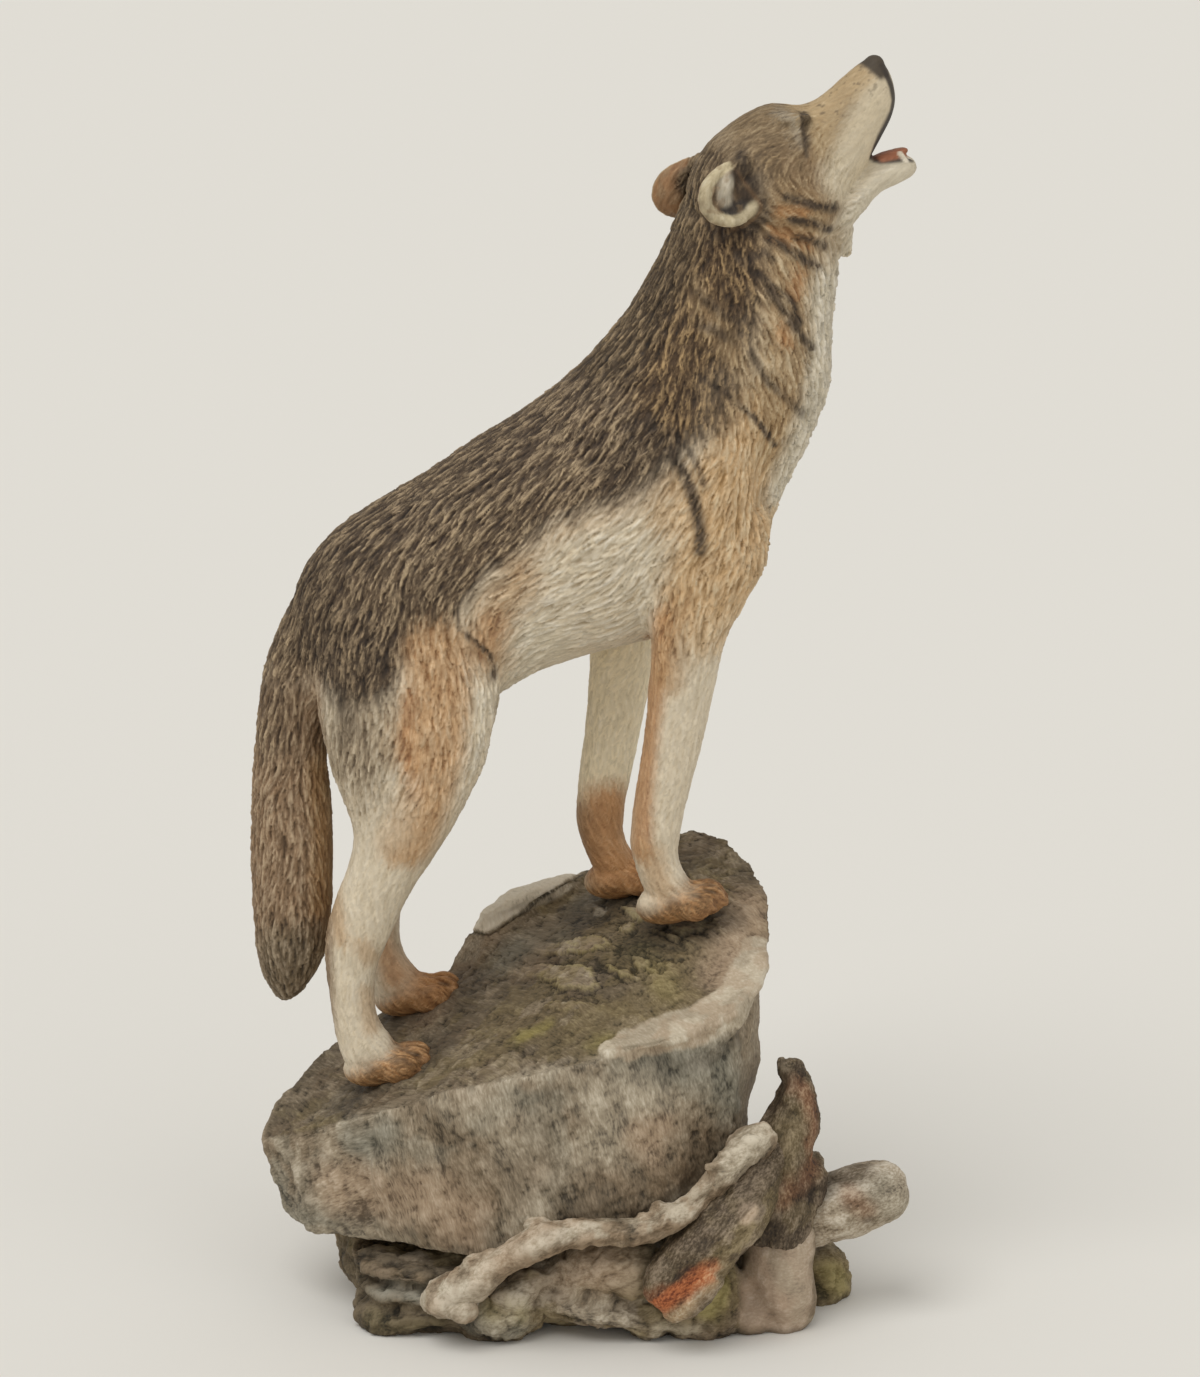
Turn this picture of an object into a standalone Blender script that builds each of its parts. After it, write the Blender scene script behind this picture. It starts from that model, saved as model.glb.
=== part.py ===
"""A howling wolf standing on a tilted boulder, cast in resin as one piece.

Metres, +Z up. The wolf faces +X and the boulder leans towards -Y, the side that is seen first.
The origin lies on the flat underside, near the middle of the footprint.
"""

import math

import bmesh
import bpy
import numpy as np
from mathutils import Euler, Matrix, Vector

MM = 0.001

# The slab that the wolf stands on: a slanted plane, and the height that it has over the origin.
SLAB_HEIGHT = 86.5 * MM
SLAB_RISE_FORWARD = 0.58
SLAB_RISE_BACK = 0.193
PLINTH_HEIGHT = 20.0 * MM
UNDERCUT = 5.0 * MM
STONE_FACET_SIZE = 14.0 * MM
STONE_FACET_DEPTH = 2.4 * MM

# Where the four paws stand, seen from above.
STANCE_WIDTH = 26.5 * MM
NEAR_HIND_PAW_X = -47.0 * MM
FAR_HIND_PAW_X = -41.0 * MM
NEAR_FRONT_PAW_X = 21.5 * MM
FAR_FRONT_PAW_X = 9.4 * MM

# The joints that the legs hang from.
HIP_X = -44.0 * MM
HIP_Z = 160.0 * MM
SHOULDER_Z = 190.0 * MM
NEAR_SHOULDER_X = 27.0 * MM
FAR_SHOULDER_X = 12.4 * MM

# Where the head sits, between the ears, and how it is held: it looks up and turns away from the viewer.
HEAD_X = 45.2 * MM
HEAD_Y = 2.0 * MM
HEAD_Z = 275.2 * MM
HEAD_PITCH = math.radians(36.0)
HEAD_YAW = math.radians(14.0)

# Half widths, across the animal.
RUMP_HALF_WIDTH = 17.5 * MM
WAIST_HALF_WIDTH = 18.5 * MM
CHEST_HALF_WIDTH = 20.5 * MM
NECK_HALF_WIDTH = 17.5 * MM
SKULL_HALF_WIDTH = 14.0 * MM
MUZZLE_HALF_WIDTH = 6.2 * MM
JAW_HALF_WIDTH = 5.0 * MM
TAIL_HALF_WIDTH = 9.4 * MM

# Paws.
PAW_LENGTH = 21.0 * MM
PAW_WIDTH = 14.5 * MM
PAW_HEIGHT = 9.0 * MM
PAW_SINK = 1.2 * MM

# How finely the clay is worked, and how many triangles each part of the casting may have.
BODY_VOXEL = 1.1 * MM
HEAD_VOXEL = 0.8 * MM
ROCK_VOXEL = 1.4 * MM
BODY_TRIANGLES = 4000
HEAD_TRIANGLES = 3500
ROCK_TRIANGLES = 3600
RING_POINTS = 28
STEPS_BETWEEN_STATIONS = 3


def clear_scene():
    for old in list(bpy.data.objects):
        bpy.data.objects.remove(old, do_unlink=True)


def slab_top(x, y):
    """Height of the slab's slanted top."""
    return SLAB_HEIGHT + SLAB_RISE_FORWARD * x + SLAB_RISE_BACK * y


def catmull_rom(a, b, c, d, t):
    """The value at t on the curve that runs from b to c, with a before it and d after it."""
    bend = 2 * a - 5 * b + 4 * c - d
    twist = 3 * b - a - 3 * c + d
    return 0.5 * (2 * b + (c - a) * t + bend * t**2 + twist * t**3)


def smooth_rows(rows, steps):
    """Rows between the given ones, on a Catmull-Rom curve through them."""
    found = []
    for i in range(len(rows) - 1):
        before, start = rows[max(i - 1, 0)], rows[i]
        end, after = rows[i + 1], rows[min(i + 2, len(rows) - 1)]
        for step in range(steps):
            t = step / steps
            found.append([catmull_rom(a, b, c, d, t) for a, b, c, d in zip(before, start, end, after)])
    return found + [list(rows[-1])]


def loft(shape, stations, matrix=Matrix.Identity(4)):
    """A closed body through oval sections. A station is (x, z) of either edge, y and the half width."""
    rows = smooth_rows([[*a, *b, y, half] for a, b, y, half in stations], STEPS_BETWEEN_STATIONS)
    rings = []
    for xa, za, xb, zb, y, half in rows:
        across = Vector((xa - xb, 0, za - zb)) / 2
        normal = across.normalized().cross(Vector((0, 1, 0)))
        place = Matrix((
            (across.x, 0, normal.x, (xa + xb) / 2),
            (0, half, 0, y),
            (across.z, 0, normal.z, (za + zb) / 2),
            (0, 0, 0, 1),
        ))
        ring = bmesh.ops.create_circle(shape, segments=RING_POINTS, radius=1.0, matrix=matrix @ place)
        rings.append(ring["verts"])
    close_rings(shape, rings)


def close_rings(shape, rings):
    """Walls between neighbouring rings, and a lid on the first and the last."""
    for low, high in zip(rings, rings[1:]):
        count = len(low)
        for i in range(count):
            j = (i + 1) % count
            shape.faces.new((low[i], low[j], high[j], high[i]))
    shape.faces.new(rings[0])
    shape.faces.new(reversed(rings[-1]))


def ball(shape, centre, radii, turn=(0, 0, 0), matrix=Matrix.Identity(4)):
    """An egg of clay. The turn is in degrees."""
    euler = Euler([math.radians(a) for a in turn])
    place = Matrix.LocRotScale(Vector(centre), euler, Vector(radii))
    bmesh.ops.create_icosphere(shape, subdivisions=3, radius=1.0, matrix=matrix @ place)


def solid_object(name, shape):
    bmesh.ops.recalc_face_normals(shape, faces=shape.faces)
    mesh = bpy.data.meshes.new(name)
    shape.to_mesh(mesh)
    shape.free()
    made = bpy.data.objects.new(name, mesh)
    bpy.context.scene.collection.objects.link(made)
    return made


def millimetres(rows):
    """Stations written in millimetres, in metres."""
    return [
        (tuple(v * MM for v in a), tuple(v * MM for v in b), y * MM, half)
        for a, b, y, half in rows
    ]


# The trunk, from the rump to the withers: back line, belly line, y, half width.
TRUNK = millimetres([
    ((-70.5, 161.0), (-61.0, 141.0), 0.0, RUMP_HALF_WIDTH * 0.45),
    ((-66.5, 174.5), (-49.0, 134.0), 0.0, RUMP_HALF_WIDTH * 0.8),
    ((-60.0, 183.5), (-36.0, 136.0), 0.0, RUMP_HALF_WIDTH),
    ((-50.5, 190.5), (-24.5, 143.5), 0.0, WAIST_HALF_WIDTH),
    ((-39.0, 197.4), (-14.0, 150.5), 0.0, WAIST_HALF_WIDTH),
    ((-25.2, 206.7), (-3.0, 154.5), 0.0, CHEST_HALF_WIDTH * 0.97),
    ((-13.7, 213.7), (10.0, 158.0), 0.0, CHEST_HALF_WIDTH),
    ((-3.0, 222.5), (24.0, 162.5), 0.0, CHEST_HALF_WIDTH),
    ((4.5, 231.0), (37.0, 174.0), 0.0, CHEST_HALF_WIDTH * 0.93),
    ((10.0, 238.0), (43.3, 191.5), 0.0, NECK_HALF_WIDTH * 1.03),
])

# The neck goes on from the trunk to the head. Its rows are measured from the middle of the head.
NECK = millimetres([
    ((-31.2, -30.2), (5.3, -68.2), -2.0, NECK_HALF_WIDTH),
    ((-27.5, -22.4), (9.4, -55.7), -1.5, NECK_HALF_WIDTH),
    ((-24.8, -16.3), (9.8, -43.2), -1.0, NECK_HALF_WIDTH * 0.97),
    ((-21.4, -9.7), (11.0, -31.2), 0.5, NECK_HALF_WIDTH * 0.86),
    ((-16.2, -3.7), (11.6, -24.4), 2.0, NECK_HALF_WIDTH * 0.7),
])

# The tail, from the rump to its tip: outer line, inner line, y, half width.
TAIL = millimetres([
    ((-62.0, 179.0), (-50.0, 165.0), 0.0, TAIL_HALF_WIDTH * 0.6),
    ((-71.0, 164.4), (-56.0, 152.0), 0.0, TAIL_HALF_WIDTH * 0.78),
    ((-75.4, 152.5), (-59.5, 141.5), 0.0, TAIL_HALF_WIDTH * 0.85),
    ((-77.6, 142.0), (-61.5, 131.0), 0.0, TAIL_HALF_WIDTH * 0.9),
    ((-79.5, 124.8), (-60.6, 120.0), 0.0, TAIL_HALF_WIDTH * 0.95),
    ((-80.6, 107.0), (-60.4, 105.3), 0.0, TAIL_HALF_WIDTH),
    ((-80.0, 90.0), (-61.4, 88.0), 0.0, TAIL_HALF_WIDTH * 0.96),
    ((-78.4, 79.5), (-64.0, 79.5), 0.0, TAIL_HALF_WIDTH * 0.78),
    ((-75.8, 73.6), (-67.5, 74.2), 0.0, TAIL_HALF_WIDTH * 0.45),
    ((-73.6, 70.8), (-71.0, 70.8), 0.0, TAIL_HALF_WIDTH * 0.12),
])

# A leg's rows: the front edge as a share of the drop from joint to sole and a reach in mm, the rear edge
# alike, and the half width in mm.
HIND_LEG = (
    ((-0.05, 18.0), (-0.08, -17.0), 7.0),
    ((0.08, 22.6), (0.08, -19.0), 9.2),
    ((0.18, 22.2), (0.25, -15.7), 9.5),
    ((0.28, 19.8), (0.35, -11.9), 8.8),
    ((0.38, 15.2), (0.43, -9.6), 7.8),
    ((0.47, 9.9), (0.50, -10.8), 6.5),
    ((0.56, 4.2), (0.58, -13.8), 5.6),
    ((0.65, 0.0), (0.64, -15.4), 5.2),
    ((0.73, -3.1), (0.71, -15.7), 5.0),
    ((0.80, -3.8), (0.81, -14.4), 5.0),
    ((0.86, -2.6), (0.89, -13.0), 5.3),
    ((0.90, 0.3), (0.95, -11.1), 5.9),
    ((0.94, 2.8), (0.99, -8.1), 5.4),
)
FRONT_LEG = (
    ((0.00, 14.0), (-0.02, -12.0), 7.0),
    ((0.10, 13.8), (0.13, -14.6), 8.4),
    ((0.21, 9.7), (0.23, -13.1), 8.2),
    ((0.295, 5.7), (0.31, -11.3), 7.3),
    ((0.41, 4.0), (0.42, -11.4), 6.4),
    ((0.54, 2.2), (0.55, -11.8), 5.9),
    ((0.68, -0.2), (0.68, -12.9), 5.5),
    ((0.78, -1.7), (0.80, -13.6), 5.5),
    ((0.85, -1.7), (0.85, -12.4), 5.3),
    ((0.895, 0.6), (0.905, -10.4), 5.6),
    ((0.935, 3.1), (0.955, -8.2), 5.6),
)


# The near limbs and the far ones: side, shoulder, front paw and hind paw.
LIMBS = (
    (-1, NEAR_SHOULDER_X, NEAR_FRONT_PAW_X, NEAR_HIND_PAW_X),
    (1, FAR_SHOULDER_X, FAR_FRONT_PAW_X, FAR_HIND_PAW_X),
)


def leg(shape, rows, joint_x, joint_z, paw_x, side):
    """A leg from its joint down to its paw. The side is -1 for the near legs and 1 for the far ones."""
    y = side * STANCE_WIDTH / 2
    sole = slab_top(paw_x, y) - PAW_SINK
    drop = joint_z - sole

    def edge(share, reach):
        return (joint_x + (paw_x - joint_x) * share + reach * MM, joint_z - drop * share)

    stations = []
    for front, rear, half in rows:
        tuck = 0.82 + 0.18 * min(max(front[0] / 0.3, 0), 1)
        stations.append((edge(*front), edge(*rear), y * tuck, half * MM))
    loft(shape, stations)


def paw(shape, paw_x, side):
    """A broad pad with four toes. Shares are of the paw's length, width and height."""
    y = side * STANCE_WIDTH / 2
    sole = Vector((paw_x, y, slab_top(paw_x, y) - PAW_SINK))
    slope = math.atan(SLAB_RISE_FORWARD) * 0.45
    turn = Matrix.Translation(sole) @ Matrix.Rotation(-slope, 4, "Y")
    size = Vector((PAW_LENGTH, PAW_WIDTH, PAW_HEIGHT))

    def lump(centre, radii):
        scaled = [Vector([c * s for c, s in zip(v, size)]) for v in (centre, radii)]
        ball(shape, scaled[0], scaled[1], matrix=turn)

    lump((-0.06, 0, 0.47), (0.40, 0.42, 0.50))
    for side in (-1, 1):
        lump((0.29, side * 0.155, 0.38), (0.23, 0.175, 0.37))
        lump((0.18, side * 0.35, 0.33), (0.21, 0.165, 0.33))


def head_frame():
    forward = Vector((
        math.cos(HEAD_PITCH) * math.cos(HEAD_YAW),
        math.cos(HEAD_PITCH) * math.sin(HEAD_YAW),
        math.sin(HEAD_PITCH),
    ))
    left = Vector((-math.sin(HEAD_YAW), math.cos(HEAD_YAW), 0))
    up = forward.cross(left)
    turn = Matrix((forward, left, up)).transposed().to_4x4()
    return Matrix.Translation((HEAD_X, HEAD_Y, HEAD_Z)) @ turn


def profile(rows, y=0.0):
    """Stations of a body that lies along x: x, upper z and lower z in mm, and half width."""
    return [((x * MM, top * MM), (x * MM, low * MM), y * MM, half) for x, top, low, half in rows]


# In the head's own frame: x towards the nose, z towards the crown.
SKULL = profile((
    (-29.0, 0.0, -12.0, SKULL_HALF_WIDTH * 0.5),
    (-24.0, 6.0, -17.0, SKULL_HALF_WIDTH * 0.82),
    (-17.0, 9.6, -21.0, SKULL_HALF_WIDTH * 0.98),
    (-10.0, 10.3, -22.5, SKULL_HALF_WIDTH),
    (-4.0, 9.8, -22.5, SKULL_HALF_WIDTH * 0.93),
    (1.0, 8.2, -20.5, SKULL_HALF_WIDTH * 0.82),
    (5.2, 4.4, -18.5, SKULL_HALF_WIDTH * 0.66),
    (9.0, 2.9, -16.8, MUZZLE_HALF_WIDTH * 1.28),
    (13.0, 2.3, -15.0, MUZZLE_HALF_WIDTH * 1.12),
    (17.0, 2.4, -13.2, MUZZLE_HALF_WIDTH),
    (21.0, 3.1, -11.2, MUZZLE_HALF_WIDTH * 0.9),
    (24.0, 3.4, -8.6, MUZZLE_HALF_WIDTH * 0.78),
    (26.0, 2.2, -5.2, MUZZLE_HALF_WIDTH * 0.58),
    (27.0, 0.4, -2.6, MUZZLE_HALF_WIDTH * 0.25),
))
JAW = profile((
    (-9.0, -14.0, -24.0, JAW_HALF_WIDTH * 1.8),
    (-2.0, -15.0, -25.0, JAW_HALF_WIDTH * 1.75),
    (4.0, -16.0, -24.0, JAW_HALF_WIDTH * 1.45),
    (9.0, -16.6, -23.4, JAW_HALF_WIDTH * 1.15),
    (13.5, -17.2, -24.4, JAW_HALF_WIDTH),
    (17.0, -18.8, -25.2, JAW_HALF_WIDTH * 0.84),
    (19.4, -20.4, -24.8, JAW_HALF_WIDTH * 0.6),
    (20.3, -21.8, -23.6, JAW_HALF_WIDTH * 0.3),
))
EAR = (
    ((-12.5, 6.6), (-13.5, -3.0), -10.0, 2.2),
    ((-16.0, 8.6), (-16.0, -5.6), -12.2, 3.1),
    ((-20.6, 9.2), (-20.8, -6.4), -13.8, 3.6),
    ((-25.0, 8.6), (-25.6, -4.4), -14.8, 3.2),
    ((-28.4, 7.0), (-28.8, 0.0), -15.4, 2.5),
    ((-30.0, 5.2), (-30.0, 3.2), -15.8, 1.2),
)
EAR_HOLLOW_CENTRE = Vector((-20.6, -17.0, 1.4)) * MM
EAR_HOLLOW_RADII = Vector((5.6, 3.8, 5.4)) * MM
THROAT_TUFT = Vector((-4.6, 0, -26.8))


def mirrored(rows, side):
    """The near ear's stations for either side."""
    return millimetres([(a, b, y * -side, half * MM) for a, b, y, half in rows])


def neck_rows():
    """The neck's rows, set in the world."""
    rows = []
    for (xa, za), (xb, zb), y, half in NECK:
        rows.append(((HEAD_X + xa, HEAD_Z + za), (HEAD_X + xb, HEAD_Z + zb), HEAD_Y + y, half))
    return rows


def body_clay():
    """Trunk, neck, tail and legs, still overlapping."""
    shape = bmesh.new()
    loft(shape, TRUNK + neck_rows())
    loft(shape, TAIL)
    for side, shoulder_x, front_x, hind_x in LIMBS:
        leg(shape, FRONT_LEG, shoulder_x, SHOULDER_Z, front_x, side)
        leg(shape, HIND_LEG, HIP_X, HIP_Z, hind_x, side)
        shoulder = Vector((shoulder_x - 3 * MM, side * CHEST_HALF_WIDTH * 0.66, SHOULDER_Z + 2 * MM))
        ball(shape, shoulder, Vector((13, 7, 25)) * MM, turn=(0, 14, 0))
        thigh = Vector((HIP_X + 1 * MM, side * RUMP_HALF_WIDTH * 0.62, HIP_Z - 10 * MM))
        ball(shape, thigh, Vector((19, 8.5, 25)) * MM, turn=(0, -12, 0))
    return solid_object("wolf_body", shape)


def head_clay():
    """Skull, jaw, ears and throat, and the four paws, still overlapping."""
    shape = bmesh.new()
    frame = head_frame()
    loft(shape, SKULL, frame)
    loft(shape, JAW, frame)
    for side in (-1, 1):
        loft(shape, mirrored(EAR, side), frame)
        brow = Vector((1.0, side * 7.4, 4.4)) * MM
        ball(shape, brow, Vector((4.4, 2.6, 2.2)) * MM, turn=(0, 34, 0), matrix=frame)
        cheek = Vector((-9, side * 8.2, -12)) * MM
        ball(shape, cheek, Vector((10.5, 6.0, 9.5)) * MM, matrix=frame)
    ball(shape, Vector((25.2, 0, 0.9)) * MM, Vector((2.6, 3.3, 2.6)) * MM, matrix=frame)
    ball(shape, THROAT_TUFT * MM, Vector((4.8, 6.5, 6.4)) * MM, matrix=frame)
    for side, _, front_x, hind_x in LIMBS:
        paw(shape, front_x, side)
        paw(shape, hind_x, side)
    return solid_object("wolf_head", shape)


# The slab's rim, clockwise from its low left end: x, y and the rim's height over the slanted top, in mm.
SLAB_RIM = (
    (-78.0, -8.0, -1.0), (-75.0, 1.0, 2.5), (-63.0, 14.0, 3.0), (-50.0, 20.0, 1.5), (-34.0, 24.0, 0.0),
    (-29.0, 28.0, 7.5), (-22.0, 31.0, 6.0), (-4.0, 33.0, 2.0), (13.0, 32.0, 0.5), (25.0, 30.0, -1.0),
    (33.0, 23.0, -5.0), (38.5, 11.0, -9.0), (43.0, -3.0, -12.7), (43.5, -15.0, -16.7), (41.0, -26.0, -19.2),
    (36.5, -34.0, -22.5), (30.0, -38.0, -22.5), (21.0, -42.0, -16.5), (5.0, -45.0, -9.5),
    (-12.0, -45.0, -3.0), (-32.0, -39.0, 1.5), (-50.0, -31.0, 2.5), (-66.0, -20.0, 1.5),
)
# The same rim at the slab's foot: x, y and the height over the plinth.
SLAB_FOOT = (
    (-73.0, -8.0, 1.0), (-69.0, 1.0, 1.0), (-57.0, 12.0, 0.0), (-46.0, 18.0, 0.0), (-32.0, 23.0, 0.0),
    (-26.0, 26.0, 0.0), (-19.0, 29.0, 0.0), (-3.0, 31.0, 0.0), (12.0, 30.0, 1.0), (22.0, 28.0, 2.0),
    (28.0, 21.0, 4.0), (31.0, 10.0, 6.0), (33.0, -3.0, 8.0), (33.5, -14.0, 10.0), (33.5, -22.0, 12.0),
    (32.0, -29.0, 14.0), (27.0, -33.0, 13.0), (19.0, -38.0, 11.0), (3.0, -42.0, 6.0), (-13.0, -42.0, 2.0),
    (-31.0, -37.0, 0.0), (-47.0, -29.0, -0.5), (-64.5, -19.0, -2.0),
)
SLAB_BULGE = 0.02
RIM_SHARES = (1.0, 0.88, 0.7, 0.45, 0.2)

# Two lips of a thin upper bed, at the front right and at the back left: x, y, z and half width, in mm.
FRONT_LIP = (
    (5.0, -42.5, 72.6, 2.2), (9.0, -41.5, 73.6, 3.4), (14.0, -40.3, 74.8, 4.4), (20.0, -38.6, 76.0, 4.9),
    (26.0, -36.0, 77.8, 4.9), (31.0, -33.0, 79.8, 4.9), (35.0, -29.0, 82.4, 4.8), (37.5, -24.0, 86.0, 4.6),
    (38.5, -19.5, 89.0, 3.4),
)
BACK_LIP = (
    (-25.0, 27.5, 83.6, 3.8), (-19.0, 28.5, 87.2, 5.0), (-12.0, 29.5, 89.6, 5.0), (-4.0, 30.0, 91.0, 4.4),
    (4.0, 30.5, 92.6, 3.2),
)
LIP_THICKNESS = 2.0 * MM


def slab(shape):
    """The boulder's slanted block, in rings from the middle of its top, over the rim and down to its foot."""
    rim = [Vector((x * MM, y * MM, slab_top(x * MM, y * MM) + lift * MM)) for x, y, lift in SLAB_RIM]
    foot = [Vector((x * MM, y * MM, PLINTH_HEIGHT + lift * MM)) for x, y, lift in SLAB_FOOT]
    middle = sum(rim, Vector()) / len(rim)
    rings = []
    for share in reversed(RIM_SHARES):
        ring = []
        for point, (_, _, lift) in zip(rim, SLAB_RIM):
            x, y = middle.xy + (point.xy - middle.xy) * share
            ring.append(Vector((x, y, slab_top(x, y) + lift * MM * share**3)))
        rings.append(ring)
    for drop in (0.12, 0.45, 0.8):
        ring = []
        for top, low in zip(rim, foot):
            point = top.lerp(low, drop)
            bulge = 1 + SLAB_BULGE * math.sin(math.pi * drop)
            point.xy = middle.xy + (point.xy - middle.xy) * bulge
            to_the_right = min(max((top.x / MM - 22) / 12, 0), 1)
            point.x -= UNDERCUT * to_the_right * (1 - drop)**3
            ring.append(point)
        rings.append(ring)
    rings.append(foot)
    close_rings(shape, [[shape.verts.new(p) for p in ring] for ring in rings])


def lip(shape, path, turn):
    """A thin bed's edge, left standing on the slab's rim."""
    for start, end in zip(path, path[1:]):
        for share in (0, 0.34, 0.67):
            *place, width = Vector(start).lerp(Vector(end), share) * MM
            ball(shape, Vector(place), Vector((width, width * 0.95, LIP_THICKNESS)), turn)


def stick(shape, path):
    """Wood or root along a path of x, y, z and radius, all in mm."""
    rows = smooth_rows(path, STEPS_BETWEEN_STATIONS)
    points = [Vector(row[:3]) * MM for row in rows]
    rings = []
    for i, point in enumerate(points):
        along = points[min(i + 1, len(points) - 1)] - points[max(i - 1, 0)]
        turn = along.to_track_quat("Z", "Y").to_matrix().to_4x4()
        ring = bmesh.ops.create_circle(
            shape, segments=14, radius=rows[i][3] * MM, matrix=Matrix.Translation(point) @ turn
        )
        rings.append(ring["verts"])
    close_rings(shape, rings)


PALE_LEDGE = (
    (-36, -38, 9.5, 2.6), (-33, -41, 12, 4.0), (-26, -43, 18.5, 4.0), (-19, -44.5, 23.0, 3.2),
    (-10, -45.5, 28, 3.6), (2, -45.5, 30.3, 3.0), (11, -45, 30.6, 2.8), (17, -44.5, 32.3, 3.1),
    (24, -43, 36, 3.2), (29.5, -41.5, 41.0, 3.8), (35, -38.5, 46.5, 4.4), (39, -36.5, 50.0, 3.2),
)
STUMP = (
    (41, -30, 22, 8.0), (42.5, -29.5, 32, 9.0), (43.6, -28.5, 40, 8.2), (45.8, -27.5, 48, 6.8),
    (47.6, -26.5, 55, 5.4), (47.6, -26, 60, 3.6), (46.4, -26, 63.4, 1.6),
)
SNAG = ((45, -26, 35, 5.5), (50, -25, 37.6, 4.2), (54, -24.5, 38.2, 3.0))
FALLEN_BRANCH = (
    (43, -31, 46, 3.0), (40.5, -34, 41.5, 5.6), (35.5, -38, 34.5, 7.4), (28, -41.0, 26.5, 7.8),
    (21.5, -43.4, 19.5, 7.0), (17.2, -45.4, 15.2, 5.4), (15.0, -46.2, 13.0, 3.6),
)
SPLINTER = ((27, -45.5, 20.5, 4.4), (22, -46.6, 13.5, 3.4), (17.8, -46.8, 9.6, 1.4))
STUB_LOG = (
    (40, -22, 20, 7.0), (50, -21.4, 24.0, 7.6), (60, -20.2, 27.6, 8.1), (67.5, -19.2, 30.0, 8.0),
    (71.6, -18.8, 30.8, 6.6), (73.6, -18.6, 31.0, 4.2),
)

# Loose stones of the plinth: centre, radii and turn, in mm and degrees.
STONES = (
    ((0, -4, 10), (50, 31, 15), (0, 0, 6)),
    ((-40, -20.5, 13.6), (17.0, 15, 3.6), (0, 6, 8)),
    ((-41, -22, 8.6), (15.0, 14.5, 3.0), (0, 3, 8)),
    ((-40, -23, 3.2), (16.0, 15.0, 5.6), (0, 0, 10)),
    ((-52, -7, 11), (8, 12, 9.5), (10, 0, 0)),
    ((-31, -39, 12.0), (4.5, 4.5, 3.6), (0, -20, 0)),
    ((-21.5, -34.5, 5.5), (11, 8.5, 8.0), (0, -8, -8)),
    ((-17, -36, 12), (8, 6, 4.5), (0, -24, 0)),
    ((5, -32.5, 16), (15, 10, 8.5), (0, -4, 0)),
    ((2, -35, 6.5), (14, 8.0, 4.5), (0, 12, 6)),
    ((14, -34.5, 4), (8, 7, 5), (0, 4, 6)),
    ((27, -31, 7), (10, 8.5, 11), (0, 14, 20)),
    ((22, -34, 3.5), (7, 6, 4.5), (0, 0, 10)),
    ((44.2, -27, 14), (8.2, 9.6, 21), (0, -3, 0)),
    ((38, -30, 3), (7, 6, 5), (0, 0, 10)),
    ((54, -8, 5), (8.5, 9, 8.5), (0, 0, 30)),
    ((38, 12, 9), (16, 14, 12), (0, 0, 20)),
    ((8, 22, 9), (19, 10, 13), (0, 0, -10)),
    ((-28, 16, 9), (20, 11, 12), (0, 0, 15)),
)


def random_table(seed, *shape):
    return np.random.default_rng(seed).random((24, 24, 24, *shape))


def lumps(places, size, seed):
    """Smooth random lumps of about that size: a value from 0 to 1 at each place."""
    table = random_table(seed)
    at = places / size + 100
    cell = np.floor(at).astype(int)
    t = at - cell
    t = t * t * (3 - 2 * t)
    total = np.zeros(len(places))
    for corner in range(8):
        step = np.array((corner & 1, corner >> 1 & 1, corner >> 2 & 1))
        weight = np.prod(np.where(step, t, 1 - t), axis=1)
        total += weight * table[tuple(((cell + step) % 24).T)]
    return total


def facets(places, size, seed):
    """Broken facets: how far each place is from its facet's middle, as a share of the size."""
    table = random_table(seed, 3)
    at = places / size + 100
    cell = np.floor(at).astype(int)
    nearest = np.full(len(places), 9.0)
    for i in range(27):
        step = cell + (i // 9 - 1, i // 3 % 3 - 1, i % 3 - 1)
        away = np.linalg.norm(at - step - table[tuple((step % 24).T)], axis=1)
        nearest = np.minimum(nearest, away)
    return nearest


def break_surface(mesh):
    """Moves the stone's skin in and out in broken facets, less so on the slab's worn top."""
    places = np.zeros(len(mesh.vertices) * 3)
    normals = np.zeros(len(mesh.vertices) * 3)
    mesh.vertices.foreach_get("co", places)
    mesh.vertices.foreach_get("normal", normals)
    places = places.reshape(-1, 3)
    normals = normals.reshape(-1, 3)
    depth = lumps(places, STONE_FACET_SIZE, 59) - facets(places, STONE_FACET_SIZE, 83)
    worn = np.clip((normals[:, 2] - 0.5) / 0.25, 0, 1)
    move = STONE_FACET_DEPTH * depth * (1 - 0.6 * worn)
    mesh.vertices.foreach_set("co", (places + normals * move[:, None]).ravel())
    mesh.update()


def rock_clay():
    """Boulder, stones and wood, melted into one skin and broken up."""
    shape = bmesh.new()
    slab(shape)
    lip(shape, FRONT_LIP, (24, -26, 0))
    lip(shape, BACK_LIP, (0, -28, 0))
    for path in (PALE_LEDGE, STUMP, SNAG, FALLEN_BRANCH, SPLINTER, STUB_LOG):
        stick(shape, path)
    for centre, radii, turn in STONES:
        ball(shape, Vector(centre) * MM, Vector(radii) * MM, turn)
    loose = solid_object("loose_rock", shape)
    modifier(loose, "REMESH", mode="VOXEL", voxel_size=ROCK_VOXEL)
    bpy.context.view_layer.update()
    skin = bpy.data.meshes.new_from_object(loose.evaluated_get(bpy.context.evaluated_depsgraph_get()))
    bpy.data.objects.remove(loose, do_unlink=True)
    break_surface(skin)
    skin.name = "wolf_figurine"
    made = bpy.data.objects.new("wolf_figurine", skin)
    bpy.context.scene.collection.objects.link(made)
    return made


def modifier(owner, kind, **settings):
    made = owner.modifiers.new(kind.lower(), kind)
    for key, value in settings.items():
        setattr(made, key, value)
    return made


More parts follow.
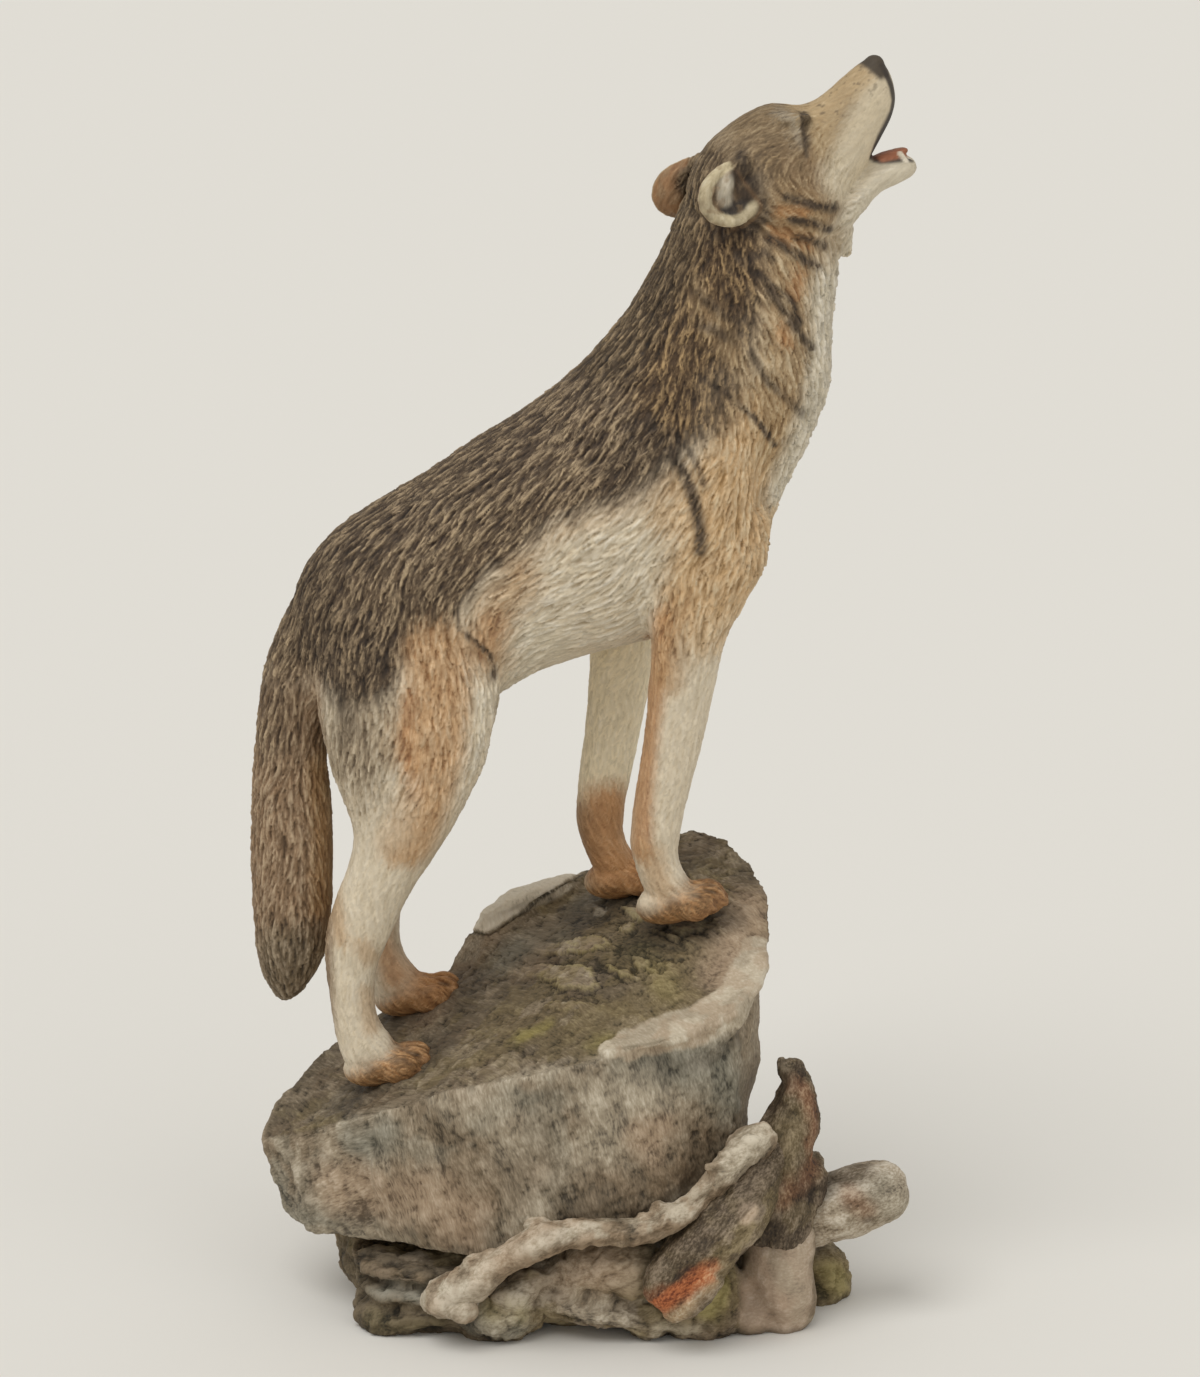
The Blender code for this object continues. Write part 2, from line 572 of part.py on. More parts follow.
def thin_to(owner, triangles):
    """Collapses edges until about that many triangles are left."""
    bpy.context.view_layer.update()
    worked = owner.evaluated_get(bpy.context.evaluated_depsgraph_get()).to_mesh()
    worked.calc_loop_triangles()
    ratio = triangles / len(worked.loop_triangles)
    modifier(owner, "DECIMATE", ratio=min(ratio, 1.0), use_collapse_triangulate=True)


def helper(made):
    """A cutter, or a body that another one takes in."""
    made.hide_render = True
    made.display_type = "WIRE"
    return made


def ground_cut():
    """All that would lie below the flat underside."""
    shape = bmesh.new()
    reach = 0.3
    middle = Matrix.Translation((0, 0, -reach / 2))
    bmesh.ops.create_cube(shape, size=reach, matrix=middle)
    return helper(solid_object("ground_cut", shape))


def ear_hollow(side):
    shape = bmesh.new()
    centre = EAR_HOLLOW_CENTRE.copy()
    centre.y *= -side
    ball(shape, centre, EAR_HOLLOW_RADII, turn=(0, 0, side * 18), matrix=head_frame())
    return helper(solid_object("ear_hollow", shape))


def paint(name, colour, roughness):
    material = bpy.data.materials.new(name)
    material.use_nodes = True
    shader = material.node_tree.nodes["Principled BSDF"]
    shader.inputs["Base Color"].default_value = (*colour, 1)
    shader.inputs["Roughness"].default_value = roughness
    shader.inputs["Metallic"].default_value = 0.0
    return material


def work_clay(owner, voxel, passes, triangles):
    """Melts the lumps into one skin, rubs it smooth and thins its mesh."""
    modifier(owner, "REMESH", mode="VOXEL", voxel_size=voxel, use_smooth_shade=True)
    modifier(owner, "SMOOTH", factor=0.5, iterations=passes)
    thin_to(owner, triangles)
    return owner


def main():
    clear_scene()
    fur = paint("painted_fur", (0.235, 0.185, 0.135), 0.7)
    stone = paint("painted_stone", (0.22, 0.2, 0.165), 0.75)
    body = helper(body_clay())
    head = helper(head_clay())
    for clay, voxel, passes, triangles in (
        (body, BODY_VOXEL, 14, BODY_TRIANGLES),
        (head, HEAD_VOXEL, 3, HEAD_TRIANGLES),
    ):
        clay.data.materials.append(fur)
        work_clay(clay, voxel, passes, triangles)
    for side in (-1, 1):
        modifier(head, "BOOLEAN", operation="DIFFERENCE", object=ear_hollow(side))

    casting = rock_clay()
    casting.data.materials.append(stone)
    modifier(casting, "SMOOTH", factor=0.5, iterations=2)
    thin_to(casting, ROCK_TRIANGLES)
    for clay in (body, head):
        modifier(casting, "BOOLEAN", operation="UNION", object=clay, material_mode="TRANSFER")
    modifier(casting, "BOOLEAN", operation="DIFFERENCE", object=ground_cut())


main()
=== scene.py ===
import math

import bmesh
import bpy
import numpy as np
from mathutils import Euler, Matrix, Vector
from mathutils.kdtree import KDTree


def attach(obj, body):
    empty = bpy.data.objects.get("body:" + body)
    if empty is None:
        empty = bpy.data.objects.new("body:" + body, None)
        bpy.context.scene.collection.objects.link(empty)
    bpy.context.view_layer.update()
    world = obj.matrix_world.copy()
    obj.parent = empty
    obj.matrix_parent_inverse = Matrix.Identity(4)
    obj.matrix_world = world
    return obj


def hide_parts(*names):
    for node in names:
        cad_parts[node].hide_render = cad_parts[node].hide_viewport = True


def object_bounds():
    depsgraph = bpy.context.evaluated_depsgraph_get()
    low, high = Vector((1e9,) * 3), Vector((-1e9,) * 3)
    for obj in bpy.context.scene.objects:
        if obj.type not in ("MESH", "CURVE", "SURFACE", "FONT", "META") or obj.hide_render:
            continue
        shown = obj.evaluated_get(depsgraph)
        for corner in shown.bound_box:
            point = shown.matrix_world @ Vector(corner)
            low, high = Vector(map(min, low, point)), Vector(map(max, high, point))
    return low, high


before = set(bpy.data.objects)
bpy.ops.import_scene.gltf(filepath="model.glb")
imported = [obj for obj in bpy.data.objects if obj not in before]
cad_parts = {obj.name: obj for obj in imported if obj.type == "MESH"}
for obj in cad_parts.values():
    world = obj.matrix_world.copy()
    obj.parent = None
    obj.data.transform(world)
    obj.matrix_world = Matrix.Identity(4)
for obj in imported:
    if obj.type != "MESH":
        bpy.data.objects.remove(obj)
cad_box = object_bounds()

MM = 0.001

# The boulder
# A slanted slab of sandstone, modelled in clay as one with the wolf and cast in stone-filled resin.
# Its top is a worn bedding plane, and its sides are broken across the beds.

SLAB_HEIGHT = 86.5
SLAB_RISE_FORWARD = 0.58
SLAB_RISE_BACK = 0.193
PLINTH_HEIGHT = 20.0

# The rim, clockwise from its low left end: x, y and the rim's height over the slanted top, in mm.
SLAB_RIM = (
    (-78, -8, -1), (-75, 1, 2.5), (-63, 14, 3), (-50, 20, 1.5), (-34, 24, 0),
    (-29, 28, 7.5), (-22, 31, 6), (-4, 33, 2), (13, 32, 0.5), (25, 30, -1),
    (33, 23, -5), (38.5, 11, -9), (43, -3, -12.7), (43.5, -15, -16.7), (41, -26, -19.2),
    (36.5, -34, -22.5), (30, -38, -22.5), (21, -42, -16.5), (5, -45, -9.5),
    (-12, -45, -3), (-32, -39, 1.5), (-50, -31, 2.5), (-66, -20, 1.5),
)
# The same rim at the slab's foot: x, y and the height over the plinth.
SLAB_FOOT = (
    (-73, -8, 1), (-69, 1, 1), (-57, 12, 0), (-46, 18, 0), (-32, 23, 0),
    (-26, 26, 0), (-19, 29, 0), (-3, 31, 0), (12, 30, 1), (22, 28, 2),
    (28, 21, 4), (31, 10, 6), (33, -3, 8), (33.5, -14, 10), (33.5, -22, 12),
    (32, -29, 14), (27, -33, 13), (19, -38, 11), (3, -42, 6), (-13, -42, 2),
    (-31, -37, 0), (-47, -29, -0.5), (-64.5, -19, -2),
)
# Rings of the top, from its middle to its rim, and of the wall, from the rim to the foot.
RIM_SHARES = (0.2, 0.45, 0.7, 0.88, 1.0)
WALL_SHARES = (0.12, 0.45, 0.8)

# Where the paws rest on it: x of the front and the hind paw on the right side, then on the left, and how
# far they stand to either side.
PAWS_X = ((21.5, -47.0), (9.4, -41.0))
PAW_Y = 13.2


def slab_top(x, y):
    """Height of the slab's slanted top, in mm."""
    return SLAB_HEIGHT + SLAB_RISE_FORWARD * x + SLAB_RISE_BACK * y


def ring_edges(ring):
    """The edges of a ring of vertices."""
    inside = set(ring)
    return list({edge for vert in ring for edge in vert.link_edges if edge.other_vert(vert) in inside})


def join_rings(shape, rings):
    """Walls between neighbouring rings, and a lid at either end. The rings are in mm and end in metres."""
    for ring in rings:
        bmesh.ops.scale(shape, verts=ring, vec=(MM, MM, MM))
    edges = [ring_edges(ring) for ring in rings]
    for low, high in zip(edges, edges[1:]):
        bmesh.ops.bridge_loops(shape, edges=low + high)
    for ring in (edges[0], edges[-1]):
        bmesh.ops.holes_fill(shape, edges=ring, sides=0)


def drawn_ring(shape, points):
    """A ring through the given points."""
    ring = bmesh.ops.create_circle(shape, segments=len(points), radius=1.0)["verts"]
    for vert, point in zip(ring, points):
        vert.co = point
    return ring


def ball(shape, centre, radii, turn=(0, 0, 0), matrix=Matrix.Identity(4)):
    """An egg of clay, in mm and degrees."""
    euler = Euler([math.radians(a) for a in turn])
    place = Matrix.Scale(MM, 4) @ matrix @ Matrix.LocRotScale(Vector(centre), euler, Vector(radii))
    bmesh.ops.create_icosphere(shape, subdivisions=4, radius=1.0, matrix=place)


def made_object(name, data):
    """A new object in the scene."""
    made = bpy.data.objects.new(name, data)
    bpy.context.scene.collection.objects.link(made)
    return made


def melt(shapes, voxel):
    """Melts overlapping lumps into one skin. Each shape comes with its own voxel and passes of rubbing."""
    skins = bpy.data.meshes.new("lumps")
    whole = bmesh.new()
    for shape, grain, rubs in shapes:
        bmesh.ops.recalc_face_normals(shape, faces=shape.faces)
        lump = bpy.data.meshes.new("lump")
        shape.to_mesh(lump)
        shape.free()
        whole.from_mesh(remeshed(lump, grain, rubs))
    whole.to_mesh(skins)
    whole.free()
    return remeshed(skins, voxel, 3)


def remeshed(mesh, voxel, rubs):
    """The skin of a mesh in even squares, rubbed smooth."""
    holder = made_object("holder", mesh)
    remesh = holder.modifiers.new("remesh", "REMESH")
    remesh.mode = "VOXEL"
    remesh.voxel_size = voxel
    if rubs:
        smooth = holder.modifiers.new("smooth", "SMOOTH")
        smooth.factor = 0.5
        smooth.iterations = rubs
    worked = holder.evaluated_get(bpy.context.evaluated_depsgraph_get())
    skin = bpy.data.meshes.new_from_object(worked)
    bpy.data.objects.remove(holder)
    return skin


def points_of(mesh):
    """The vertices' places and normals, in mm."""
    places = np.empty(len(mesh.vertices) * 3, dtype=np.float32)
    mesh.vertices.foreach_get("co", places)
    normals = np.empty(len(mesh.vertices) * 3, dtype=np.float32)
    mesh.vertex_normals.foreach_get("vector", normals)
    return places.reshape(-1, 3).astype(float) / MM, normals.reshape(-1, 3).astype(float)


def put_points(mesh, places):
    """Moves the vertices, and none out of the casting's own box."""
    low, high = np.array(cad_box[0]) / MM + 0.02, np.array(cad_box[1]) / MM - 0.02
    places = np.clip(places, low, high)
    mesh.vertices.foreach_set("co", (places * MM).astype(np.float32).ravel())
    mesh.update()


def lumps(places, size, seed):
    """Smooth random lumps of about that size in mm: a value from 0 to 1 at each place."""
    side = 24
    lattice = np.random.default_rng(seed).random((side, side, side))
    at = places / size + 100
    cell = np.floor(at).astype(int)
    t = at - cell
    t = t * t * (3 - 2 * t)
    total = np.zeros(len(places))
    for corner in range(8):
        step = np.array((corner & 1, corner >> 1 & 1, corner >> 2 & 1))
        weight = np.prod(np.where(step, t, 1 - t), axis=1)
        i, j, k = ((cell + step) % side).T
        total += weight * lattice[i, j, k]
    return total


def rough(places, size, seed, octaves=4):
    """Lumps on lumps, each half the size of the one before: a value around 0.5."""
    total, share, weights = np.zeros(len(places)), 1.0, 0.0
    for octave in range(octaves):
        total += share * lumps(places, size / 2**octave, seed + octave)
        weights += share
        share *= 0.5
    return total / weights


def smoothstep(low, high, value):
    t = np.clip((value - low) / (high - low), 0, 1)
    return t * t * (3 - 2 * t)


def distance_to_path(places, path):
    """The distance of each place from a line through the path's points, in as many axes as they have."""
    path = np.array(path, dtype=float)
    best = np.full(len(places), np.inf)
    for start, end in zip(path, path[1:] if len(path) > 1 else path):
        along = end - start
        reach = along @ along or 1.0
        t = np.clip((places - start) @ along / reach, 0, 1)
        best = np.minimum(best, np.linalg.norm(places - start - t[:, None] * along, axis=1))
    return best


def linear(code):
    """An sRGB hex colour, in linear light."""
    parts = [int(code[i:i + 2], 16) / 255 for i in (1, 3, 5)]
    return np.array([c / 12.92 if c <= 0.04045 else ((c + 0.055) / 1.055) ** 2.4 for c in parts])


class Coat:
    """Paint on a skin of points, laid on with brushes. Each paint is a tuple of three hex colours: in the
    hollows, on the ground between, and on the ridges."""

    def __init__(self, places, paint, fray=0.0):
        self.places = places
        self.fray = fray * (rough(places, 5, 5) - 0.5) if fray else 0.0
        self.colours = [np.tile(linear(code), (len(places), 1)) for code in paint]

    def cover(self, paint, amount):
        for layer, code in zip(self.colours, paint):
            layer += amount[:, None] * (linear(code) - layer)

    def brush(self, paint, path, radius, soft=0.5, opacity=1.0, where=None):
        """A stroke along a path of (x, z) or (x, y, z), in mm, with a soft edge."""
        axes = (0, 2) if len(path[0]) == 2 else (0, 1, 2)
        away = distance_to_path(self.places[:, axes], path) + self.fray
        amount = opacity * (1 - smoothstep(radius * (1 - soft), radius * (1 + soft), away))
        self.cover(paint, amount if where is None else amount * where)

    def strokes(self, table):
        """Strokes in turn: paint, path, radius, softness, opacity and, if they are kept to a place, where."""
        for stroke in table:
            self.brush(*stroke)


def set_attribute(mesh, name, values):
    """Values at the vertices: numbers or colours."""
    if values.ndim == 1:
        mesh.attributes.new(name, "FLOAT", "POINT").data.foreach_set("value", values.astype(np.float32))
        return
    flat = np.ones((len(values), 4), dtype=np.float32)
    flat[:, :3] = values
    mesh.attributes.new(name, "FLOAT_COLOR", "POINT").data.foreach_set("color", flat.ravel())


def node(tree, kind, inputs=None, **settings):
    """Adds a node, with its settings and what its sockets take: a value, or another node's socket."""
    added = tree.nodes.new(kind)
    for key, value in settings.items():
        setattr(added, key, value)
    for socket, value in (inputs or {}).items():
        if isinstance(value, bpy.types.NodeSocket):
            tree.links.new(value, added.inputs[socket])
        else:
            added.inputs[socket].default_value = value
    return added


def broken(places, size, seed):
    """Broken facets: how far each place is from its facet's middle and its edge, as shares of the size."""
    side = 24
    middles = np.random.default_rng(seed).random((side, side, side, 3))
    at = places / size + 100
    cell = np.floor(at).astype(int)
    first = np.full(len(places), 9.0)
    second = first.copy()
    for i in range(27):
        step = cell + (i // 9 - 1, i // 3 % 3 - 1, i % 3 - 1)
        away = np.linalg.norm(at - step - middles[tuple((step % side).T)], axis=1)
        second = np.minimum(second, np.maximum(first, away))
        first = np.minimum(first, away)
    return first, second - first


def facets(places, normals):
    """How far the broken stone stands out of its rounded shape, in mm: less on the level, worn top."""
    worn = np.clip((normals[:, 2] - 0.5) / 0.25, 0, 1)
    return 2.4 * (lumps(places, 14, 59) - broken(places, 14, 83)[0]) * (1 - 0.6 * worn)


def painted(name, grain, roughness, speckle, dent):
    """Matt paint in three tones: in hollows, on the ground and on ridges. A fine grain runs along the "flow"
    coordinates, which are in mm, as strongly as "grit" says. Grain and dent are in mm."""
    material = bpy.data.materials.new(name)
    material.use_nodes = True
    tree = material.node_tree
    flow = node(tree, "ShaderNodeAttribute", attribute_name="flow").outputs["Vector"]
    grit = node(tree, "ShaderNodeAttribute", attribute_name="grit").outputs["Fac"]
    relief = node(tree, "ShaderNodeAttribute", attribute_name="relief").outputs["Fac"]
    noise = {"Vector": flow, "Scale": 1 / grain, "Detail": 3.0, "Roughness": 0.6}
    fine = node(tree, "ShaderNodeTexNoise", noise).outputs["Fac"]
    around = node(tree, "ShaderNodeMath", {0: fine, 1: speckle, 2: -0.5 * speckle}, operation="MULTIPLY_ADD")
    amount = {0: around.outputs[0], 1: grit, 2: relief}
    worn = node(tree, "ShaderNodeMath", amount, operation="MULTIPLY_ADD").outputs[0]
    hollow, ground, ridge = (
        node(tree, "ShaderNodeAttribute", attribute_name=tone).outputs["Color"]
        for tone in ("hollow", "ground", "ridge")
    )
    low = node(tree, "ShaderNodeMapRange", {"Value": worn, "From Min": 0.0, "From Max": 0.45})
    high = node(tree, "ShaderNodeMapRange", {"Value": worn, "From Min": 0.5, "From Max": 1.0})
    base = node(tree, "ShaderNodeMix", {0: low.outputs[0], 6: hollow, 7: ground}, data_type="RGBA").outputs[2]
    colour = node(tree, "ShaderNodeMix", {0: high.outputs[0], 6: base, 7: ridge}, data_type="RGBA").outputs[2]
    bump = node(tree, "ShaderNodeBump", {"Strength": grit, "Height": fine, "Distance": dent * MM})
    shader = tree.nodes["Principled BSDF"]
    tree.links.new(colour, shader.inputs["Base Color"])
    tree.links.new(bump.outputs["Normal"], shader.inputs["Normal"])
    shader.inputs["Roughness"].default_value = roughness
    shader.inputs["Specular IOR Level"].default_value = 0.35
    return material


def lay_paint(mesh, coat, relief, flow, grit):
    """Stores on a mesh its paints and what painted() reads: relief, flow and grit."""
    for tone, colours in zip(("hollow", "ground", "ridge"), coat.colours):
        set_attribute(mesh, tone, colours)
    set_attribute(mesh, "relief", relief)
    set_attribute(mesh, "flow", flow)
    set_attribute(mesh, "grit", grit)
    mesh.shade_smooth()


def finished(name, mesh, material):
    """A painted piece of the casting."""
    mesh.materials.append(material)
    piece = made_object(name, mesh)
    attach(piece, "root")
    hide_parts("wolf_figurine")
    return piece


def drawn_out(places, way, share):
    """Places squeezed along one way, so that a pattern on them is drawn out along it."""
    way = np.array(way) / np.linalg.norm(way)
    return places - share * (places @ way)[:, None] * way


# Paints of the stone: in the hollows, on the ground and on the ridges.
STONE = ("#4a4031", "#8a7b65", "#b5a791")
TOP_STONE = ("#322a1d", "#635643", "#91826b")
EARTH = ("#3b3022", "#6c5a44", "#947e64")
PINK_TAN = ("#6b5744", "#a58e74", "#c4af97")
OLIVE = ("#3b331d", "#6c5d3f", "#8f7f5c")
YELLOW_MOSS = ("#4f4723", "#837745", "#a0945e")
SLATE = ("#45433a", "#7d796a", "#a09b8c")
PALE_GREY = ("#6d6354", "#a59882", "#d0c5b0")
CREAM_STONE = ("#7f715a", "#c0b39c", "#e2d9c6")
# a lighter copy of the cream stone for the rear lip: its own pale colour, with painted light on it
CREAM_WITH_PAINTED_LIGHT = ("#a5977d", "#e0d5c0", "#f0e9da")
SHADE = ("#201c15", "#443b2e", "#655948")

# matt acrylic paint washed over grey and ochre, dry-brushed with pale grey on the cast stone's grain
stone_paint = painted("painted_stone", grain=0.55, roughness=0.74, speckle=1.5, dent=0.1)

slab = bmesh.new()
rim = [Vector((x, y, slab_top(x, y) + lift)) for x, y, lift in SLAB_RIM]
foot = [Vector((x, y, PLINTH_HEIGHT + lift)) for x, y, lift in SLAB_FOOT]
middle = sum(rim, Vector()) / len(rim)
rings = []
for share in RIM_SHARES:
    ring = []
    for point, (_, _, lift) in zip(rim, SLAB_RIM):
        x, y = middle.xy + (point.xy - middle.xy) * share
        ring.append((x, y, slab_top(x, y) + lift * share**3))
    rings.append(ring)
for drop in WALL_SHARES:
    ring = []
    for top, low in zip(rim, foot):
        point = top.lerp(low, drop)
        point.xy = middle.xy + (point.xy - middle.xy) * (1 + 0.02 * math.sin(math.pi * drop))
        point.x -= 5.0 * min(max((top.x - 22) / 12, 0), 1) * (1 - drop) ** 3
        ring.append(point)
    rings.append(ring)
rings.append(foot)
join_rings(slab, [drawn_ring(slab, ring) for ring in rings])

# Two lips of a thin upper bed, left standing at the front right and at the back left, in mm.
FRONT_LIP = (
    (5, -42.5, 72.6, 2.2), (9, -41.5, 73.6, 3.4), (14, -40.3, 74.8, 4.4), (20, -38.6, 76, 4.9),
    (26, -36, 77.8, 4.9), (31, -33, 79.8, 4.9), (35, -29, 82.4, 4.8), (37.5, -24, 86, 4.6),
    (38.5, -19.5, 89, 3.4),
)
BACK_LIP = (
    (-25, 27.5, 83.6, 3.8), (-19, 28.5, 87.2, 5), (-12, 29.5, 89.6, 5), (-4, 30, 91, 4.4),
    (4, 30.5, 92.6, 3.2),
)
for path, turn in ((FRONT_LIP, (24, -26, 0)), (BACK_LIP, (0, -28, 0))):
    for start, end in zip(path, path[1:]):
        for share in (0, 0.34, 0.67):
            *place, width = Vector(start).lerp(Vector(end), share)
            ball(slab, place, (width, width * 0.95, 2.0), turn)

slab_skin = melt(((slab, 0.9 * MM, 6),), 0.65 * MM)
places, normals = points_of(slab_skin)
x, y, z = places.T
top = smoothstep(0.5, 0.75, normals[:, 2])
front = smoothstep(0.2, 0.6, -normals[:, 1]) * (1 - top)
lip = np.zeros(len(places))
for path in (FRONT_LIP, BACK_LIP):
    for start, end in zip(path, path[1:]):
        reach = (start[3] + end[3]) / 2
        away = distance_to_path(places, (start[:3], end[:3]))
        ragged = away + 2.4 * (rough(places, 5, 2) - 0.5)
        lip = np.maximum(lip, 1 - smoothstep(reach * 0.95, reach * 1.15, ragged))

# A pale bed at the rear left starts behind a crack, whose line is given as x and the height above a plane
# that leans back.
CRACK = ((-25, 83.8), (-20.9, 86.0), (-16, 88.9), (-12.8, 91.2), (-9.5, 93.3), (-6.2, 95.8), (-3.8, 97.4))
behind = 0.970 * z + 0.242 * y - np.interp(x, *zip(*CRACK)) + 0.8 * (rough(places, 3, 7) - 0.5)
rear = smoothstep(8, 10, y) * (1 - smoothstep(-4, -1, x))
lip = np.maximum(lip * (1 - smoothstep(10, 14, y)), rear * smoothstep(0.1, 0.5, behind))
hollow = rear * (1 - smoothstep(0.1, 0.7, abs(behind)))

# The beds run these ways: wisps that swirl over the top, slanted ones at the left end, and streaks that
# hang down the front.
TOP_BEDS = (1, -1.31, 0.33)
END_BEDS = (1, -0.5, 0.62)
DOWN_THE_FRONT = (-0.3, 0, 1)
swirl = np.column_stack([6.0 * (rough(places, 17, seed, 2) - 0.5) for seed in (3, 4, 6)])
wisps = rough(drawn_out(places, TOP_BEDS, 0.78) + swirl, 3.2, 13)
edges = 1 - smoothstep(0.0, 0.045, abs(wisps - 0.5))
edges -= 0.6 * smoothstep(0.55, 0.6, wisps) * (1 - smoothstep(0.6, 0.68, wisps))
bedded = top * (0.2 + 0.8 * (1 - smoothstep(10, 30, np.hypot(x - 8, y + 6)))) * (1 - lip)
slope = rough(drawn_out(places, END_BEDS, 0.8) + 0.5 * swirl, 3.0, 23)
left_end = (1 - top) * (1 - smoothstep(-62, -38, x))
flutes = rough(drawn_out(places, DOWN_THE_FRONT, 0.55) + 0.3 * swirl, 2.9, 41)
pits = smoothstep(0.63, 0.72, rough(places, 1.4, 47, 2))
grain = rough(places, 2.0, 53, 3) - 0.5
fine = 1.9 * bedded * (wisps - 0.5) - 0.9 * bedded * edges
fine += (0.4 + 1.2 * left_end) * (1 - top) * (slope - 0.5) + 1.2 * front * (flutes - 0.5)
fine += (1.0 - 0.2 * lip) * grain - (0.3 * front + 0.35 * top) * (1 - lip) * pits
out = fine + facets(places, normals) + 0.9 * lip * (rough(places, 6, 57, 2) - 0.5) - 0.2 - 0.9 * hollow
put_points(slab_skin, places + normals * out[:, None])
relief = np.clip(0.52 + 0.8 * (fine - 0.55 * grain) - hollow, 0, 1)
flow = drawn_out(places, DOWN_THE_FRONT, 0.72) + 0.3 * swirl
flow = np.where(left_end[:, None] > 0.5, drawn_out(places, END_BEDS, 0.75) + 0.5 * swirl, flow)
flow = np.where(top[:, None] > 0.5, drawn_out(places, TOP_BEDS, 0.78) + swirl, flow)

# the pale lower edge of the slab's front
FOOT_EDGE = ((-64, -20, 20), (-49, -27, 20), (-42, -31, 19), (-33, -36, 18), (-27, -41, 19))

coat = Coat(places, STONE, 6.0)
coat.cover(TOP_STONE, top)
coat.cover(EARTH, 0.35 * smoothstep(0.48, 0.6, rough(places, 12, 61, 4)))
coat.cover(SLATE, 0.35 * front * smoothstep(0.5, 0.6, rough(places, 9, 67, 4)))
hanging = rough(drawn_out(places, DOWN_THE_FRONT, 0.7) + 0.4 * swirl, 2.8, 71, 4)
coat.cover(PALE_GREY, 0.55 * front * smoothstep(0.5, 0.62, hanging))
coat.cover(OLIVE, 0.55 * top * smoothstep(0.48, 0.56, rough(places, 9, 73, 4)))
coat.cover(STONE, 0.6 * top * smoothstep(0.54, 0.6, rough(places, 6, 75, 4)))
crests = smoothstep(0.53, 0.56, wisps) * (1 - smoothstep(0.6, 0.64, wisps))
coat.cover(SHADE, 0.32 * bedded * np.clip(edges, 0, 1))
coat.cover(YELLOW_MOSS, 0.45 * bedded * crests)
coat.strokes((
    (EARTH, ((2, -43, 37), (10, -42, 38), (24, -38, 46)), 8, 0.7, 0.7),
    (EARTH, ((-27, -40, 40), (-17, -43, 44), (-31, -37, 28)), 7, 0.7, 0.5),
    (SHADE, ((-4, -43, 33), (6, -43, 35)), 4, 0.9, 0.35),
    (SLATE, ((10, -43, 68), (21, -42, 70), (30, -37, 67), (34, -34, 58)), 6, 0.7, 0.8),
    (SLATE, ((-48, -32, 49), (-53, -28, 45)), 5, 0.7, 0.75),
    (SHADE, ((16, -41, 68), (27, -38, 69), (34, -33, 74)), 2.2, 0.8, 0.45),
    (SLATE, ((-25, -41, 55), (-17, -43, 62), (-9, -44, 62)), 3, 0.8, 0.6),
    (SLATE, ((-73, -10, 28), (-70, -9, 22), (-60, -24, 22)), 5, 0.8, 0.6),
    (PALE_GREY, ((-27, -40, 57), (-23, -42, 60), (-18, -43, 52)), 5, 0.8, 0.6),
    (PALE_GREY, ((2, -44, 62), (9, -44, 63), (14, -43, 58), (4, -44, 52)), 5.5, 0.8, 0.85),
    (PINK_TAN, ((-59, -24, 33), (-47, -31, 33), (-35, -36, 35), (-30, -38, 30)), 7, 0.7, 0.75),
    (PINK_TAN, ((13, -42, 51), (15, -42, 53)), 5, 0.7, 0.85),
    (PALE_GREY, FOOT_EDGE, 2.4, 0.6, 0.7),
    (PINK_TAN, ((-40, 7, 68), (-32, 19, 71), (-26, 22, 78)), 6, 0.8, 0.6, top),
    (PINK_TAN, ((29, -25, 87), (36, -17, 91), (37, -8, 96)), 6, 0.7, 0.7, top),
    (SLATE, ((-20, 12, 78), (-8, 12, 84), (-2, 14, 88)), 6, 0.8, 0.6, top),
    (OLIVE, ((8, -12, 88), (21, -20, 88), (17, -32, 82), (0, -36, 75)), 6, 0.8, 0.7, top),
    (EARTH, ((3.5, 7.3, 90), (-9.3, 15.5, 84.1), (-14, 4.3, 79.2)), 5, 0.9, 0.5, top),
    (OLIVE, ((3.5, 7.3, 90), (8.2, -9.6, 89.4), (15.8, -29.4, 84)), 4, 0.9, 0.5, top),
    (YELLOW_MOSS, ((-15.8, -30, 71.6), (-10.4, -28.2, 75)), 2, 0.9, 0.5, top),
    (YELLOW_MOSS, ((-15, -29, 71), (-12, -29, 72)), 2.6, 0.9, 0.9, top),
    (YELLOW_MOSS, ((1, -40, 73), (4, -39, 74)), 2.4, 0.9, 0.8, top),
    (YELLOW_MOSS, ((12, -15, 89), (17, -30, 83)), 2.5, 0.9, 0.3, top),
))
coat.cover(CREAM_STONE, 0.92 * lip)
coat.cover(STONE, 0.5 * lip * smoothstep(0.5, 0.6, rough(places, 7, 79, 4)))
coat.cover(PINK_TAN, 0.5 * lip * smoothstep(0.48, 0.58, rough(places, 4, 81, 4)))
# the rear lip's pale cream, painted lighter still as painted light, since it faces back, away from the lamps
coat.cover(CREAM_WITH_PAINTED_LIGHT, 0.85 * rear * lip)
coat.strokes((
    (PALE_GREY, ((-17, -43.5, 66), (-6, -44.5, 69), (2, -43.5, 70.5)), 1.8, 0.8, 0.7),
    (CREAM_STONE, ((2.7, 9.9, 90), (2.9, 9.9, 90.2)), 1.1, 0.3, 1),
    (SHADE, ((-9.4, 24, 85.7), (-9, 24, 85.7)), 1.3, 0.4, 1),
    (SHADE, ((-7.4, 21.7, 86.4), (-7, 21.7, 86.4)), 1.1, 0.4, 1),
))
for side, paws in zip((-1, 1), PAWS_X):
    for paw_x in paws:
        y_paw = side * PAW_Y
        contact = [(at, y_paw, slab_top(at, y_paw)) for at in (paw_x - 8, paw_x + 9)]
        coat.brush(SHADE, contact, 8.5, 0.35, 0.55, top)
lay_paint(slab_skin, coat, relief, flow, 1 - 0.25 * lip - 0.1 * top)
finished("boulder", slab_skin, stone_paint)

# The plinth's stones
# Broken blocks and rubble that prop the slab, cast with it and cut flat below. Their beds lie level.
# The pale ledge runs from the rubble at the front up to the stump.

